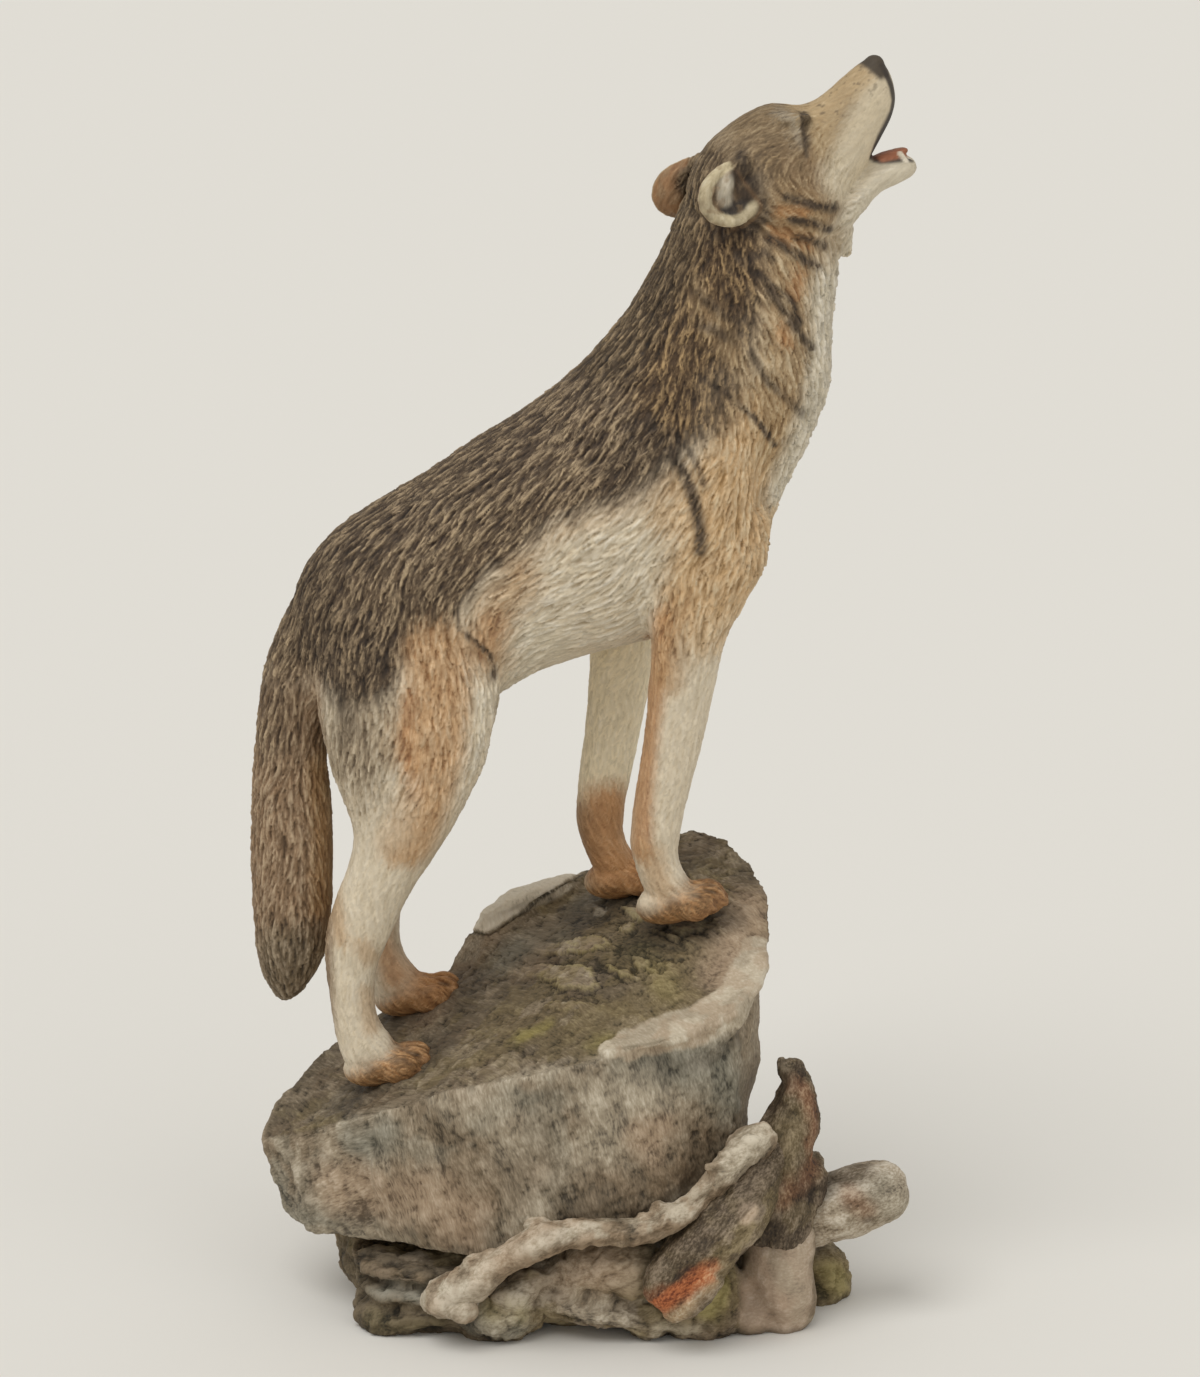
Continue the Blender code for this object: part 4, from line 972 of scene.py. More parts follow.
body = bmesh.new()
loft(body, TRUNK)
loft(body, TAIL)
head = bmesh.new()
for side, shoulder_x, front_x, hind_x in LIMBS:
    leg(body, FRONT_LEG, shoulder_x, SHOULDER_Z, front_x, side)
    leg(body, HIND_LEG, HIP_X, HIP_Z, hind_x, side)
    ball(body, (shoulder_x - 3, side * CHEST * 0.66, SHOULDER_Z + 2), (13, 7, 25), turn=(0, 14, 0))
    ball(body, (HIP_X + 1, side * RUMP * 0.62, HIP_Z - 10), (19, 8.5, 25), turn=(0, -12, 0))
    paw(head, front_x, side)
    paw(head, hind_x, side)
for rows in (SKULL, JAW, TONGUE):
    loft(head, [(x, upper, x, lower, half, 0) for x, upper, lower, half in rows], HEAD)
for side in (-1, 1):
    drop = FAR_EAR_DROP if side > 0 else Vector()
    for x, y, z, radius in smooth_rows(EAR_RIM, 4):
        ball(head, Vector((x, y * side, z)) + drop, (radius, radius, radius), matrix=HEAD)
    for (x, y, z), radii, turn, moves in (
        ((-21.6, 12.3, 1.2), (6.2, 1.7, 6), (0, 0, -side * 16), 1),
        ((-20.2, 13.2, 3.4), (3.4, 1.4, 1.8), (0, -38, 0), 1),
        ((-15.4, 11, 4), (3.4, 2, 3), (0, 0, 0), 1),
        ((1.4, 7.4, 4.4), (4.2, 2.6, 2), (0, 34, 0), 0),
        ((-9, 8.2, -12), (10.5, 6, 9.5), (0, 0, 0), 0),
        ((17.8, 2.6, -20.4), (0.6, 0.6, 1.7), (0, 20, 0), 0),
    ):
        ball(head, Vector((x, y * side, z)) + drop * moves, radii, turn, HEAD)
ball(head, (24.9, 0, 0.8), (2.3, 3.0, 2.3), matrix=HEAD)
for centre, radii in (
    ((-4, 0, -24), (4, 6, 4)),
    ((-4.2, 0, -27), (2.4, 3.4, 2.4)),
    ((-4.6, 0, -29.4), (1.3, 2, 1.6)),
    ((-6.6, 0, -26.4), (3, 4.6, 3)),
):
    ball(head, centre, radii, matrix=HEAD)
for side in (-1, 1):
    ball(body, (-22.5, side * 9, 151.5), (2.4, 3.6, 3.6))

wolf_skin = melt(((body, 0.9 * MM, 16), (head, 0.45 * MM, 3)), 0.42 * MM)
places, normals = points_of(wolf_skin)


def in_head(places):
    """Places in the head's own frame."""
    turn = np.array(HEAD.to_3x3())
    return (places - np.array(HEAD_CENTRE)) @ turn


# How the hair lies, at points on the right side: x, z, and the way that it runs in x and z.
LIE_OF_HAIR = (
    (18, 249, -0.45, -0.9), (11, 238, -0.5, -0.87), (2, 227, -0.6, -0.8), (-11, 213, -0.75, -0.66),
    (-29, 204, -0.8, -0.6), (-50, 190, -0.75, -0.66), (-64, 176, -0.45, -0.9), (-70, 160, -0.3, -0.95),
    (2, 213, -0.55, -0.83), (-16, 199, -0.6, -0.8), (-34, 186, -0.5, -0.87), (-48, 172, -0.35, -0.93),
    (-55, 153, -0.1, -1), (-34, 153, 0.12, -1), (-25, 158, 0.3, -0.95), (-44, 134, -0.25, -0.97),
    (-51, 110, -0.3, -0.95), (-56, 86, -0.1, -1), (-54, 68, 0.3, -0.9), (2, 186, -0.75, -0.66),
    (-11, 174, -0.85, -0.5), (-5, 162, -0.95, -0.2), (-18, 160, -0.6, -0.8), (18, 186, -0.45, -0.9),
    (32, 199, -0.35, -0.93), (39, 190, -0.25, -0.97), (27, 174, -0.3, -0.95), (23, 153, -0.15, -1),
    (17, 129, -0.15, -1), (14, 112, 0.2, -1), (24, 99, 0.8, -0.5), (29, 240, 0.1, -1), (22, 229, -0.15, -1),
    (43, 240, 0.55, -0.83), (45, 227, 0.45, -0.9), (38, 218, 0.35, -0.94), (53, 240, 0.1, -1),
    (47, 209, -0.2, -1), (38, 259, 0.5, -0.5), (47, 261, 0.75, -0.6), (34, 253, 0.3, -1),
    (-78, 130, -0.35, -0.95), (-64, 118, 0.2, -0.97), (-79, 100, -0.3, -0.95), (-62, 96, 0.25, -0.97),
    (-72, 83, 0.1, -1), (20, 262, -0.4, -0.9), (30, 282, -0.8, -0.55), (42, 283, -1, -0.05),
    (46, 276, -0.7, -0.6), (52, 272, -0.5, -0.85), (58, 283, -0.75, -0.6), (63, 270, -0.8, -0.45),
    (60, 262, -0.9, -0.35), (-39, 73, 0.8, -0.4), (-46, 62, 0.8, -0.4), (8, 98, 0.7, -0.5),
)


def combed(places, normals):
    """The way that the hair runs at each place, along the skin."""
    table = np.array(LIE_OF_HAIR, dtype=float)
    away_x = places[:, None, 0] - table[:, 0]
    away_z = places[:, None, 2] - table[:, 1]
    nearness = (away_x ** 2 + away_z ** 2 + 4.0) ** -1.8
    nearness /= nearness.sum(axis=1, keepdims=True)
    run = np.zeros_like(places)
    run[:, (0, 2)] = nearness @ table[:, 2:]
    run[:, 0] += 0.5 * (lumps(places, 7, 11) - 0.5)
    run[:, 2] += 0.5 * (lumps(places, 7, 12) - 0.5)
    run -= normals * np.sum(run * normals, axis=1, keepdims=True)
    return run / np.maximum(np.linalg.norm(run, axis=1, keepdims=True), 1e-6)


def lay_locks(places, normals, run, length, width, gap, seed):
    """Locks of hair that overlap like shingles. Gives each place its height, and of the lock that it lies on
    the middle, a random number, and how far it lies across and along it."""
    rng = np.random.default_rng(seed)
    order = rng.permutation(len(places))
    cells = np.floor(places[order] / gap).astype(np.int64) @ np.array((1, 4096, 4096**2))
    roots = order[np.unique(cells, return_index=True)[1]]
    tree = KDTree(len(roots))
    for i, place in enumerate(places[roots]):
        tree.insert(place, i)
    tree.balance()
    near = np.array([[found[1] for found in tree.find_n(place, 10)] for place in places])
    lengths = length * rng.uniform(0.7, 1.3, len(roots))
    widths = width * rng.uniform(0.7, 1.3, len(roots))
    heights = rng.uniform(0.5, 1.0, len(roots))
    waves = rng.uniform(-0.5, 0.5, len(roots)) * width * 2.0
    sides = np.cross(normals[roots], run[roots])
    top = np.zeros(len(places))
    winner = near[:, 0].copy()
    lies = np.zeros((len(places), 2))
    for lock in near.T:
        offset = places - places[roots[lock]]
        along = np.sum(offset * run[roots[lock]], axis=1) / lengths[lock] + 0.4
        across = np.sum(offset * sides[lock], axis=1) + waves[lock] * np.sin(along * 5.0)
        taper = widths[lock] * (1.05 - 0.75 * np.clip(along, 0, 1) ** 2)
        ridge = np.sqrt(np.clip(1 - (across / taper) ** 2, 0, 1))
        rise = smoothstep(-0.05, 0.55, along) * (1 - smoothstep(0.8, 1.02, along))
        height = heights[lock] * ridge * rise
        higher = height > top
        top = np.where(higher, height, top)
        winner = np.where(higher, lock, winner)
        lies = np.where(higher[:, None], np.column_stack((across, along * lengths[lock])), lies)
    return top, places[roots[winner]], rng.random(len(roots))[winner], lies


def hairs_of(places, run, length, size, seed):
    """Single hairs: noise smeared along the way that the hair runs, as a value around 0.5."""
    smeared = np.zeros(len(places))
    for along in np.linspace(-0.5, 0.5, 11) * length:
        smeared += lumps(places + along * run, size, seed)
    return 0.5 + 0.2 * (smeared - smeared.mean()) / smeared.std()


def within(places, outline):
    """How far each place lies inside an outline of (x, z), in mm: less than 0 outside."""
    ring = np.array((*outline, outline[0]), dtype=float)
    odd = np.zeros(len(places), dtype=bool)
    for (xa, za), (xb, zb) in zip(ring, ring[1:]):
        crosses = (za > places[:, 2]) != (zb > places[:, 2])
        odd ^= crosses & (places[:, 0] < xa + (places[:, 2] - za) * (xb - xa) / ((zb - za) or 1e-9))
    return np.where(odd, 1, -1) * distance_to_path(places[:, (0, 2)], ring)


run = combed(places, normals)
local = in_head(places)
x, y, z = places.T
head_share = 1 - smoothstep(20, 34, np.linalg.norm(local - np.array((6, 0, -4)), axis=1))
ears = np.zeros(len(places))
for side in (-1, 1):
    drop = np.array(FAR_EAR_DROP) * (side > 0)
    ear = local - drop - np.array((-21.5, side * 14, 1.2))
    around = 1 - smoothstep(7.6, 8.6, np.hypot(ear[:, 0], ear[:, 2]))
    around = around * (1 - smoothstep(4.2, 5.6, ear[:, 0]))
    ears = np.maximum(ears, around * smoothstep(-3.4, -2.2, ear[:, 1] * side))
leg_share = np.maximum(
    smoothstep(-15, -8, x) * (1 - smoothstep(150, 168, z)),
    smoothstep(-64, -58, x) * (1 - smoothstep(-14, -8, x)) * (1 - smoothstep(112, 132, z)),
)
short = np.maximum(head_share, leg_share)
is_short = short > 0.3 + 0.4 * lumps(places, 3, 23)
relief, number = np.zeros((2, len(places)))
middle = places.copy()
lies = np.zeros((len(places), 2))
for patch, length, width, gap in ((~is_short, 6.0, 0.5, 1.25), (is_short, 3.0, 0.38, 0.9)):
    relief[patch], middle[patch], number[patch], lies[patch] = lay_locks(
        places[patch], normals[patch], run[patch], length, width, gap, 21
    )

hairs = hairs_of(places, run, length=3.8, size=0.42, seed=61)
muzzle = smoothstep(3, 8, local[:, 0]) * head_share
lips = ((25.2, -1.5), (24.6, -4.5), (23.4, -7.6), (20.4, -10.6), (17.2, -12.0), (14.2, -13.4), (12.4, -15.0))
bare = np.maximum(
    smoothstep(22.0, 23.2, local[:, 0]) * smoothstep(-3.4, -2.4, local[:, 2]),
    1 - smoothstep(0.8, 1.8, distance_to_path(local[:, (0, 2)], lips)),
) * head_share
eye_slit = ((4.4, 4.8), (2.6, 2.0), (0.4, -0.6), (-1.4, -2.6))
eye = 1 - smoothstep(0.5, 1.3, distance_to_path(local[:, (0, 2)], eye_slit))
eye *= head_share * (abs(local[:, 1]) > 4)
toes = np.zeros(len(places))
for side, _, front_x, hind_x in LIMBS:
    for paw_x in (front_x, hind_x):
        for gap in (-3.7, 0.0, 3.7):
            y_paw = side * PAW_Y
            ground = slab_top(paw_x, y_paw)
            groove = (
                (paw_x + 2.5, y_paw + gap, ground + 8.0),
                (paw_x + 7.5, y_paw + 1.15 * gap, ground + 6.5),
                (paw_x + 11.0, y_paw + 1.25 * gap, ground + 4.5),
            )
            toes = np.maximum(toes, 1 - smoothstep(0.2, 1.3, distance_to_path(places, groove)))
depth = np.where(is_short, 0.36, 0.7) * (1 - 0.4 * head_share) * (1 - bare) * (1 - 0.7 * ears)
ruff = ((60, 258), (57, 246), (54, 232), (52, 216), (48, 204), (44, 195), (38, 180))
depth *= (1 - 0.6 * muzzle) * (1 - 0.45 * leg_share)
depth *= 1 + 0.9 * (1 - smoothstep(3, 7, distance_to_path(places[:, (0, 2)], ruff)))
soft = 0.5 * (rough(places, 9, 31, 2) - 0.5) * (1 - head_share)
out = depth * (relief - 0.55) + 0.75 * depth * (hairs - 0.5) + soft - 0.45 * eye - 1.1 * toes
places = places + normals * out[:, None]
put_points(wolf_skin, places)

# The paints of the coat: in the cuts between its locks, on the locks, and on their ridges.
SADDLE = ("#291d15", "#594835", "#b29c7c")
RUMP_BROWN = ("#1d160f", "#3f3123", "#988366")
NAPE = ("#1d160f", "#423422", "#978162")
NECK_BROWN = ("#271b0f", "#503c27", "#af9165")
NECK_TAN = ("#6a4e30", "#9f835d", "#cab592")
SHOULDER_TAN = ("#97774c", "#c4a47b", "#d9c39f")
FRINGE = ("#7c5733", "#a88256", "#cbab80")
FLANK_CREAM = ("#b9a78b", "#d3c5ab", "#e4dac7")
BELLY = ("#bbae95", "#d0c4ac", "#e0d7c4")
THROAT = ("#9e8e72", "#cbc0a9", "#e6ddcb")
THIGH_ORANGE = ("#87603a", "#ba966e", "#d8ba95")
THIGH_GREY = ("#6b5a46", "#a08e74", "#c6b8a0")
ORANGE = ("#7f4d26", "#ac7a49", "#cfa477")
RUST = ("#4b2c16", "#85603c", "#b5885c")
LEG_CREAM = ("#b09e80", "#d2c4ab", "#ded3bf")
FAR_LEG_PAINTED_LIGHT = ("#bdac8c", "#e4d6b6", "#eee3cc")
# painted light: a lighter copy of the leg's cream, for the far front leg that lies in the body's shade
PAW_TAN = ("#4e351d", "#83613d", "#b99b72")
TAIL_BROWN = ("#4d3a26", "#856b50", "#b8a184")
TAIL_TIP = ("#2e261d", "#63553f", "#9d8d76")
STRIPE = ("#1f1812", "#382c20", "#625140")
CROWN = ("#4a3925", "#7d684b", "#a79373")
CHEEK = ("#543c25", "#866e50", "#b8a282")
MUZZLE_TAN = ("#86683f", "#b39a74", "#d0bc98")
MUZZLE_CREAM = ("#ac9b7c", "#d0c1a5", "#ded3bd")
NOSE_BROWN = ("#2c251c", "#493f32", "#6e6355")
LIP = ("#1f1914", "#37302a", "#5b5045")
MOUTH = ("#2f1f16", "#57392a", "#7a5240")
TONGUE_RED = ("#6a3c25", "#9c6346", "#bb866a")
IVORY = ("#a89c80", "#d8cdb8", "#ece4d4")
EAR_BACK = ("#5f4128", "#946f4c", "#bc9a74")
EAR_RIM_CREAM = ("#867253", "#c6b795", "#ddd3ba")
EAR_TUFT = ("#6f6656", "#a59b88", "#cac2b2")

seen = places + 0.7 * (middle - places) + 2.5 * (hairs - 0.5)[:, None] * run
coat = Coat(seen, FLANK_CREAM)
near_side = (y < 0).astype(float)
fray = 5.0 * (rough(seen, 6, 37, 3) - 0.5)


def region(paint, outline, soft, opacity=1.0, where=1.0):
    """Paint inside an outline of (x, z), in mm, with a feathered edge that wanders a little."""
    coat.cover(paint, opacity * where * smoothstep(-soft, soft, within(seen, outline) + fray))


# Trunk: cream flank and belly, tan shoulder, orange fringe, dark saddle down to the rear of the thigh.
coat.cover(BELLY, 0.9 * smoothstep(-30, -20, x) * (1 - smoothstep(12, 20, x)) * (1 - smoothstep(160, 170, z)))
coat.strokes((
    (LEG_CREAM, ((2, 172), (8, 176), (10, 180)), 7, 0.6, 0.6),
    (SHOULDER_TAN, ((42, 206), (36, 196), (31, 184), (28, 172)), 12, 0.35),
    (SHOULDER_TAN, ((22, 200), (18, 192)), 5, 0.6, 0.7),
    (SHOULDER_TAN, ((35, 216), (31, 205), (27, 196)), 6, 0.6, 0.9),
    (FRINGE, ((16, 200), (6, 194), (-8, 189), (-16, 182)), 3.4, 0.8, 0.35),
    (FRINGE, ((-16, 177), (-21, 170), (-24, 163), (-23, 158)), 5, 0.9, 0.7),
    (ORANGE, ((-22, 166), (-24, 161)), 3.4, 0.9, 0.5),
    (THIGH_GREY, ((-50, 142), (-54, 132), (-52, 122)), 9, 0.5, 0.9),
))
region(SADDLE, (
    (-72, 148), (-66, 152), (-60, 152), (-55, 149), (-49, 149), (-44, 152), (-41, 159), (-34, 162),
    (-29, 166), (-27, 171), (-21, 178), (-14, 185.5), (-7, 191), (6, 196), (14, 201), (20, 207), (24, 211),
    (24, 218), (28, 226), (36, 240), (40, 256), (36, 275), (10, 280), (-20, 240), (-60, 210), (-90, 180),
), 3.4)
coat.strokes((
    (THIGH_ORANGE, ((-35, 160), (-36, 150), (-38, 140)), 6.5, 0.8, 0.7),
    (RUMP_BROWN, ((-70, 168), (-62, 162), (-54, 158)), 10, 0.5, 0.8),
    (SADDLE, ((-57, 150), (-56, 142), (-54, 134)), 4, 0.9, 0.4),
    (RUMP_BROWN, ((-66, 176), (-50, 188), (-34, 200), (-16, 212), (0, 226)), 6, 0.8, 0.55),
    (RUMP_BROWN, ((8, 200), (16, 208), (20, 216)), 6, 0.8, 0.5),
))

# Neck: dark nape, brown side with tan streaks, cream throat.
coat.strokes((
    (NECK_BROWN, ((22, 220), (27, 234), (31, 247)), 12, 0.4, 0.9),
    (NECK_TAN, ((44, 206), (45, 218), (44, 230), (46, 244), (46, 256)), 6.5, 0.5, 0.9),
    (NECK_TAN, ((28, 236), (33, 227), (39, 219)), 2.4, 0.8, 0.6),
    (NECK_TAN, ((24, 243), (27, 234)), 2, 0.9, 0.5),
    (NAPE, ((4, 228), (12, 240), (17, 251), (22, 262)), 8, 0.5, 0.8),
    (THROAT, ((60, 262), (58, 250), (55.5, 238)), 6, 0.5),
    (THROAT, ((56, 240), (54, 228), (52, 216), (48, 204), (44, 195)), 4.2, 0.6, 0.95),
    (ORANGE, ((43, 259), (45, 255)), 1.6, 0.9, 0.6),
    (ORANGE, ((47, 246), (46, 242)), 1.6, 0.9, 0.6),
    (ORANGE, ((43, 234), (44, 231)), 1.6, 0.9, 0.6),
))

# Legs: cream, the near front one with an orange rear edge; the far front one turns orange at its foot.
front_leg = smoothstep(-8, -2, x) * (1 - smoothstep(156, 176, z))
hind_leg = smoothstep(-64, -60, x) * (1 - smoothstep(-20, -12, x)) * (1 - smoothstep(112, 134, z))
coat.cover(LEG_CREAM, front_leg)
# painted light: the far front leg gets the lighter cream, which lifts the shade that falls on it
coat.cover(FAR_LEG_PAINTED_LIGHT, 0.85 * front_leg * (1 - near_side))
coat.cover(LEG_CREAM, hind_leg)
coat.strokes((
    (SHOULDER_TAN, ((28, 174), (27, 166)), 7, 0.7, 0.7),
    (ORANGE, ((17, 168), (15.5, 156), (13.5, 143), (12.2, 130), (11.4, 113)), 2.6, 0.7, 0.8, near_side),
    (FRINGE, ((20, 172), (19, 164), (18, 154)), 3.4, 0.8, 0.6, near_side),
    (FRINGE, ((14, 112), (16, 104)), 3, 0.8, 0.6, near_side),
    (ORANGE, ((4, 116), (3, 108), (5, 100)), 6, 0.6, 0.9, 1 - near_side),
    (RUST, ((-3, 113), (-2, 100)), 4, 0.7, 0.75, 1 - near_side),
    (FRINGE, ((-62, 118), (-60, 104), (-58, 92)), 2, 0.9, 0.6, near_side),
    (FRINGE, ((-53, 90), (-51, 87)), 2.2, 0.9, 0.5, near_side),
    (FRINGE, ((-52, 78), (-51, 70)), 1.8, 0.9, 0.45, near_side),
    (ORANGE, ((-49, 92), (-50, 84), (-47, 74)), 2.6, 0.8, 0.7, 1 - near_side),
    (THIGH_ORANGE, ((-35, 160), (-34, 148), (-35, 137), (-38, 126), (-42, 116)), 6.4, 0.45, 0.95),
    (ORANGE, ((-41, 150), (-42, 138), (-40, 128)), 1.8, 0.9, 0.6),
    (LEG_CREAM, ((-44, 128), (-46, 118)), 4.5, 0.8, 0.5),
))

# Paws, darker between the toes, and with painted shade where they meet the stone.
over_stone = z - slab_top(x, y)
on_paw = leg_share * (1 - smoothstep(5, 11, over_stone + fray))
coat.cover(PAW_TAN, on_paw)
coat.cover(ORANGE, 0.5 * on_paw * smoothstep(0.5, 0.62, hairs))
for side, _, front_x, hind_x in LIMBS:
    for paw_x in (front_x, hind_x):
        if side > 0:
            coat.brush(ORANGE, ((paw_x + 2, PAW_Y, slab_top(paw_x, PAW_Y) + 5),), 9, 0.7, 0.75)
coat.cover(STRIPE, 0.6 * smoothstep(0.3, 0.9, toes))
for claw in CLAWS:
    coat.cover(STRIPE, 0.9 * (1 - smoothstep(0.8, 1.5, np.linalg.norm(places - np.array(claw), axis=1))))
# painted shade: a dark rust-brown band low on each paw, where it meets the stone
coat.cover(RUST, 0.85 * leg_share * (1 - smoothstep(0.4, 2.2, over_stone)))

# Tail.
on_tail = (1 - smoothstep(-62, -58.5, x + 0.02 * (z - 100))) * (1 - smoothstep(146, 158, z))
coat.cover(TAIL_BROWN, on_tail)
coat.strokes((
    (SADDLE, ((-72, 160), (-74, 150), (-75, 138)), 7, 0.7, 0.7),
    (FRINGE, ((-63, 130), (-62, 112), (-63, 96)), 2.4, 0.9, 0.6, on_tail),
    (TAIL_TIP, ((-71, 66), (-71, 84)), 9, 0.5, 0.85, on_tail),
))

# Head, in its own frame.
head_coat = Coat(in_head(seen), CROWN)
for paint, path, radius, feather, opacity in (
    (CHEEK, ((-2, -6), (-8, -10), (-8, -16)), 7, 0.6, 0.9),
    (NECK_BROWN, ((-12, -6), (-14, -12), (-14, -18)), 4.5, 0.7, 0.6),
    (NECK_BROWN, ((-9, 3), (-13, 0), (-14, -4)), 4.0, 0.8, 0.5),
    (STRIPE, ((-15.5, 3.0), (-14.6, 0.0), (-15.0, -4.0), (-17.0, -7.0)), 2.0, 0.9, 0.8),
    (MUZZLE_CREAM, ((4, -13), (10, -11), (18, -8), (22, -5)), 6.8, 0.5, 0.95),
    (THROAT, ((-8, -24), (0, -24), (8, -22), (16, -22)), 5.0, 0.5, 1.0),
    (THROAT, ((-4, -27), (-6, -32)), 6.0, 0.5, 1.0),
    (MUZZLE_TAN, ((4, 3), (12, 1.6), (21, 2.0)), 2.8, 0.7, 0.9),
    (MUZZLE_TAN, ((3, -3), (8, -1)), 3.0, 0.8, 0.7),
    (CROWN, ((-4, 9), (-10, 10), (-16, 9)), 4.5, 0.6, 0.9),
    (EAR_TUFT, ((0.2, 6.0), (-0.8, 0.6)), 1.6, 0.8, 0.5),
    (NAPE, ((-22, 8), (-28, 2)), 5.0, 0.6, 0.7),
):
    head_coat.brush(paint, path, radius, feather, opacity)
for layer, head_layer in zip(coat.colours, head_coat.colours):
    layer += head_share[:, None] * (head_layer - layer)

# Tan streaks on the cheek, below the ear.
coat.strokes((
    (NECK_TAN, ((42, 261), (49, 258), (52, 252)), 5.5, 0.7, 0.65),
    (ORANGE, ((42, 260), (48, 260)), 1.3, 0.9, 0.6),
    (ORANGE, ((41, 255), (49, 253)), 1.5, 0.9, 0.6),
))

# Dark marks on shoulder, thigh, ruff and neck, broken up by the locks that lie over them.
broken_up = 0.5 * number + 0.5 * lumps(places, 1.6, 45)
coat.places = places + 0.3 * (middle - places)
for mark, width, strength in (
    (((14, 213), (19, 206), (23, 198), (25, 189), (25, 184)), 1.9, 0.95),
    (((18, 212), (23, 206), (26, 199)), 1.1, 0.7), (((9, 212), (15, 210)), 2.4, 0.5),
    (((44, 263), (50, 261), (55, 260)), 1.4, 0.95), (((45, 258), (50, 257), (54, 255)), 1.3, 0.95),
    (((46, 254), (50, 253), (53, 251)), 1.2, 0.9), (((40, 254), (45, 251), (51, 247)), 1.5, 0.95),
    (((33, 250), (40, 244), (45, 240), (47, 235)), 1.3, 0.95),
    (((25, 235), (28, 234), (31, 232)), 1.8, 0.8), (((36, 229), (40, 222), (44, 218), (48, 214)), 1.1, 0.8),
    (((24, 224), (30, 220), (37, 214), (42, 207)), 0.9, 0.95), (((40, 243), (46, 234), (50, 229)), 1.3, 0.9),
    (((35, 249), (39, 251), (41, 249)), 1.1, 0.8), (((24, 242), (30, 237), (36, 236)), 1.4, 0.7),
    (((29, 255), (36, 256), (39, 259), (38, 263), (35, 268), (34, 272)), 2.1, 0.9),
    (((-28, 164), (-26, 162), (-23, 159), (-22, 155), (-22, 153)), 1.0, 0.95),
    (((-60, 160), (-57, 150), (-54, 142)), 2.6, 0.45),
):
    coat.brush(STRIPE, mark, 0.75 * width, 0.8, strength, 0.45 + 0.55 * smoothstep(0.35, 0.5, broken_up))

# Eyes, nose, lips and ears are painted with a fine brush, on each spot as it lies.
face = Coat(in_head(places), CROWN)
face.colours = coat.colours
off_middle = abs(local[:, 1])
sides = head_share * (off_middle > 4)
lower_lip = ((12.2, -15.6), (13.2, -17.0), (15.8, -18.7), (18.2, -20.2), (19.4, -21.4))
face.strokes((
    (CROWN, ((-1.2, 5), (-3, -1), (-4.4, -4)), 1, 0.9, 0.7, sides),
    (NAPE, ((4.8, 5), (3.4, 2.6)), 1.7, 0.7, 0.8, sides),
    (NAPE, ((4.2, 3.8), (2, 1.4), (0, -1.2)), 1, 0.9, 0.75, sides),
    (STRIPE, ((3, 4.4), (1.6, 1.8), (-0.2, -1), (-1.6, -3)), 0.5, 0.9, 0.75, sides),
    (LIP, lips, 0.85, 0.5, 0.95, head_share),
    (LIP, ((20.6, -10.4), (16, -12.6), (12.6, -15.2)), 1.3, 0.5, 0.9, head_share),
    (MOUTH, ((13, -16), (15, -16), (18, -16.2)), 1, 0.6, 1, head_share * (off_middle < 4.6)),
    (LIP, lower_lip, 0.85, 0.5, 0.95, head_share * (off_middle > 2.2)),
    (TONGUE_RED, ((14, -16.8), (17.2, -18.4), (19.4, -19.6)), 1.1, 0.4, 1, head_share * (off_middle < 2.9)),
    (IVORY, ((17.8, -20.9), (17.8, -18.8)), 0.6, 0.4, 1, head_share * (abs(off_middle - 2.6) < 0.8)),
))
nose = smoothstep(-0.7, 0.7, local[:, 0] - 22.8 + 0.18 * local[:, 2]) * smoothstep(-2.6, -1.0, local[:, 2])
face.cover(NOSE_BROWN, nose * head_share)
face.brush(LIP, ((25.6, 0.2), (25.2, -1.8)), 0.7, 0.7, 0.8, head_share * (off_middle > 0.8))
specks = smoothstep(0.76, 0.82, lumps(local, 0.75, 43)) * smoothstep(-9, 2, local[:, 2]) * muzzle * (1 - nose)
face.cover(STRIPE, 0.5 * specks)
outward = (normals @ np.array(HEAD.to_3x3()))[:, 1]
for side in (-1, 1):
    this_ear = ears * (local[:, 1] * side > 0)
    face.places = local - np.array(FAR_EAR_DROP) * (side > 0)
    rim = [(a, side * b, c) for a, b, c, _ in EAR_RIM]
    inside = this_ear * smoothstep(0.0, 0.4, outward * side)
    face.cover(EAR_BACK, this_ear)
    face.cover(NAPE, 0.9 * inside)
    face.brush(LIP, ((-23.6, -0.8), (-21.6, -2.4), (-19.6, -2.8)), 1.9, 0.5, 1.0, inside)
    face.brush(EAR_TUFT, ((-19.4, 4.6), (-21.4, 3.0), (-22.6, 1.4)), 1.7, 0.5, 1.0, inside)
    face.brush(IVORY, ((-20.0, 4.6), (-21.8, 2.6)), 0.7, 0.8, 0.6, inside)
    face.brush(STRIPE, ((-17.4, 4.4), (-18.4, 1.0), (-18.0, -2.0)), 1.0, 0.8, 0.9, inside)
    face.brush(EAR_RIM_CREAM, rim[:8], 1.6, 0.3, 1.0, this_ear * smoothstep(-0.5, 0.1, outward * side))
    face.brush(EAR_RIM_CREAM, rim[7:], 1.3, 0.4, 0.9, this_ear * smoothstep(-0.5, 0.1, outward * side))
    face.cover(CHEEK, 0.45 * this_ear * smoothstep(0.55, 0.7, rough(places, 1.6, 47, 2)))

contrast = (1 - 0.5 * leg_share * (1 - 0.5 * on_paw)) * (1 - 0.6 * muzzle)
contrast = contrast * (1 - 0.3 * head_share) * (1 - 0.6 * ears) * (1 - bare)
relief = 0.47 + 0.62 * (relief - 0.5) + 0.8 * (hairs - 0.5)
relief = np.clip(0.5 + (relief - 0.5) * contrast, 0, 1)
for layer in coat.colours:
    layer *= (1 + (0.34 * number - 0.17) * (0.35 + 0.65 * contrast))[:, None]
grit = (0.25 + 0.75 * contrast) * (1 - 0.8 * bare)
# the grain runs along each lock, and no two locks share it
flow = np.column_stack((lies[:, 0], 0.1 * lies[:, 1], 40 * number))
lay_paint(wolf_skin, coat, relief, flow, grit)

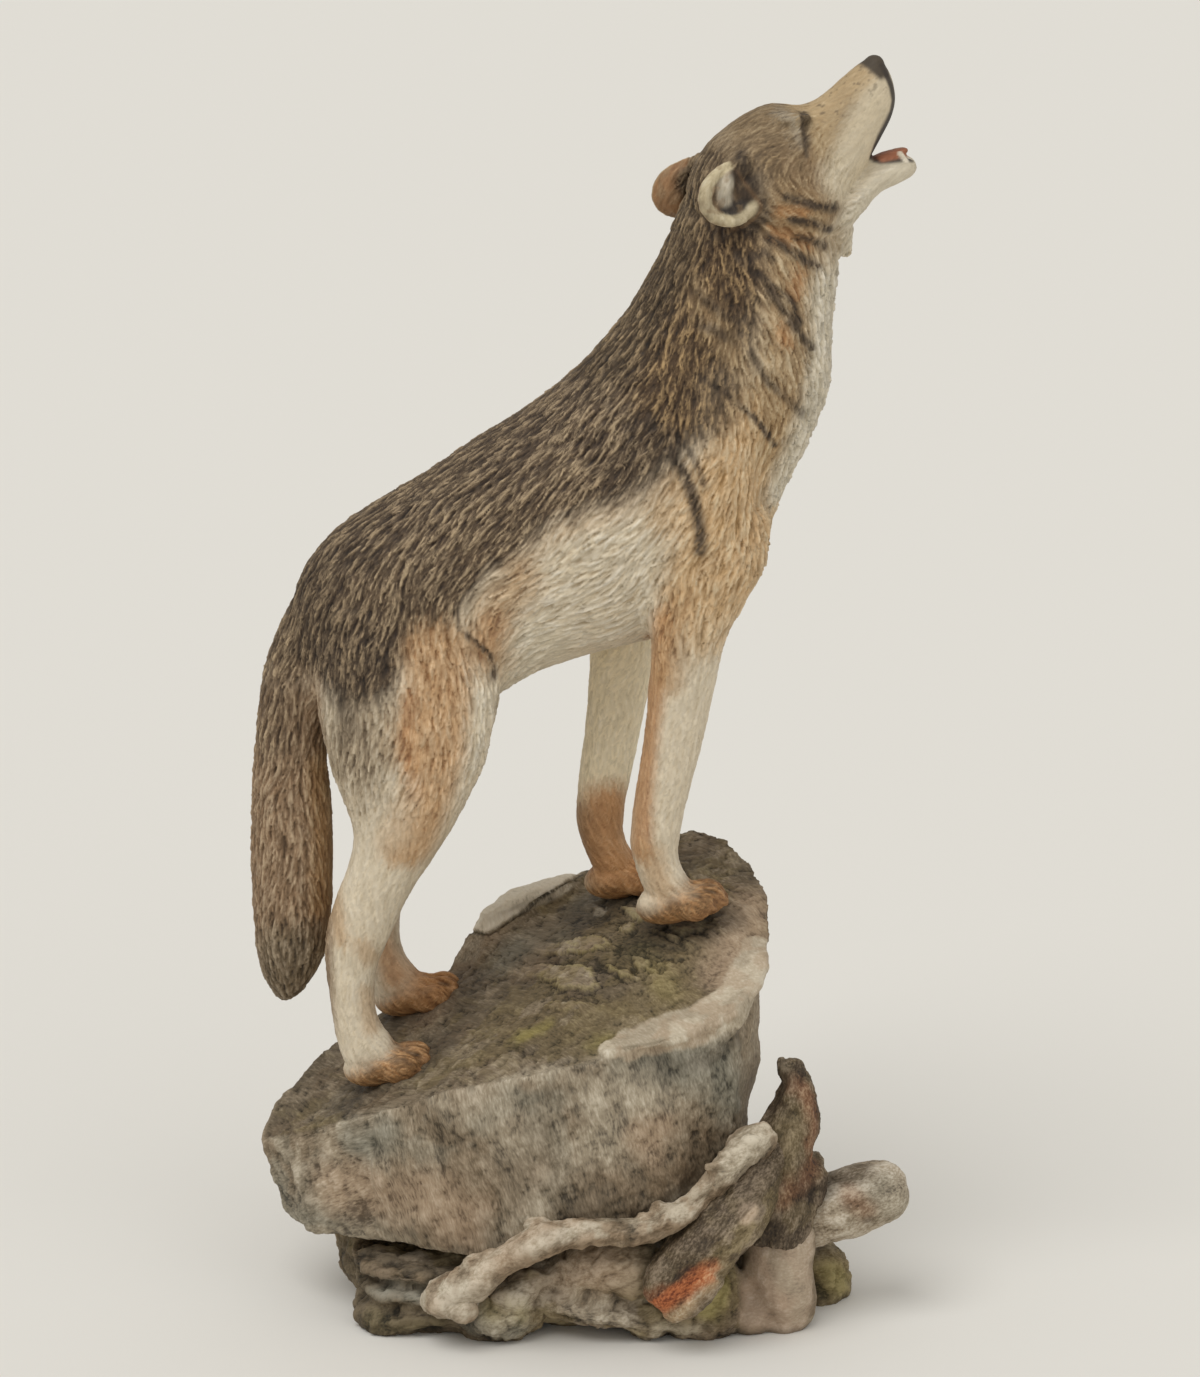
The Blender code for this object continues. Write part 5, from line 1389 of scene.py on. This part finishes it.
# matt acrylic paint: brown washes in the cuts, pale dry-brushing on the locks
coat_paint = painted("painted_coat", grain=0.42, roughness=0.62, speckle=1.6, dent=0.05)

# The one casting is shown in five lengths, which meet at plane cuts: behind the ribs, at the neck's root,
# through the thighs and above the elbows. Each cut is a point in mm and the way that it faces.
RUMP_CUT = ((-17, 0, 180), (1, 0, 0.1))
NECK_CUT = ((20, 0, 218), (0.35, 0, 1))
THIGH_CUT = ((0, 0, 132), (0, 0, 1))
ELBOW_CUT = ((0, 0, 165), (0, 0, 1))


def other_side(cut):
    """The same cut, seen from the piece on its other side."""
    point, (x, y, z) = cut
    return point, (-x, -y, -z)


for name, cuts in (
    ("wolf_rump", (RUMP_CUT, other_side(THIGH_CUT))),
    ("wolf_hind_legs_and_tail", (RUMP_CUT, THIGH_CUT)),
    ("wolf_chest", (other_side(RUMP_CUT), NECK_CUT, other_side(ELBOW_CUT))),
    ("wolf_front_legs", (other_side(RUMP_CUT), ELBOW_CUT)),
    ("wolf_head_and_neck", (other_side(NECK_CUT),)),
):
    finished(name, sawn(wolf_skin, name, cuts), coat_paint)

# The studio
# A wide pale sheet that is both floor and backdrop, lit softly from above and in front.

stage_shape = bmesh.new()
bmesh.ops.create_grid(stage_shape, x_segments=1, y_segments=1, size=20)
stage_mesh = bpy.data.meshes.new("sheet")
stage_shape.to_mesh(stage_mesh)
stage_shape.free()
sheet = made_object("sheet", stage_mesh)
# matt paper, off-white
paper = bpy.data.materials.new("studio_paper")
paper.use_nodes = True
paper_shader = paper.node_tree.nodes["Principled BSDF"]
paper_shader.inputs["Base Color"].default_value = (*linear("#e4e1da"), 1)
paper_shader.inputs["Roughness"].default_value = 0.9
paper_shader.inputs["Specular IOR Level"].default_value = 0.0
sheet.data.materials.append(paper)

world = bpy.data.worlds.new("studio")
world.use_nodes = True
world.node_tree.nodes["Background"].inputs["Color"].default_value = (*linear("#f4f3f0"), 1)
world.node_tree.nodes["Background"].inputs["Strength"].default_value = 0.62
bpy.context.scene.world = world


def sun(name, aim, strength, spread):
    """A broad lamp that shines along the given way."""
    lamp = bpy.data.lights.new(name, "SUN")
    lamp.energy = strength
    lamp.angle = math.radians(spread)
    made = made_object(name, lamp)
    made.rotation_mode = "QUATERNION"
    made.rotation_quaternion = Vector(aim).to_track_quat("-Z", "Y")


sun("key_lamp", (0.45, 0.6, -1.25), 1.25, 38)
sun("fill_lamp", (-0.7, 0.8, -0.7), 0.35, 60)

lens = bpy.data.cameras.new("camera")
lens.sensor_fit = "VERTICAL"
lens.sensor_height = 36
# a focal length of 4300 pixels in an image 1377 pixels high
lens.lens = 4300 * 36 / 1377
camera = made_object("camera", lens)
# it stands 1 m away from the point that it looks at, and looks down
tilt = math.radians(14)
camera.location = Vector((0.0023, -math.cos(tilt), 0.1468586 + math.sin(tilt)))
camera.rotation_euler = (math.radians(90) - tilt, 0, 0)
bpy.context.scene.camera = camera

bpy.context.scene.view_settings.view_transform = "Standard"
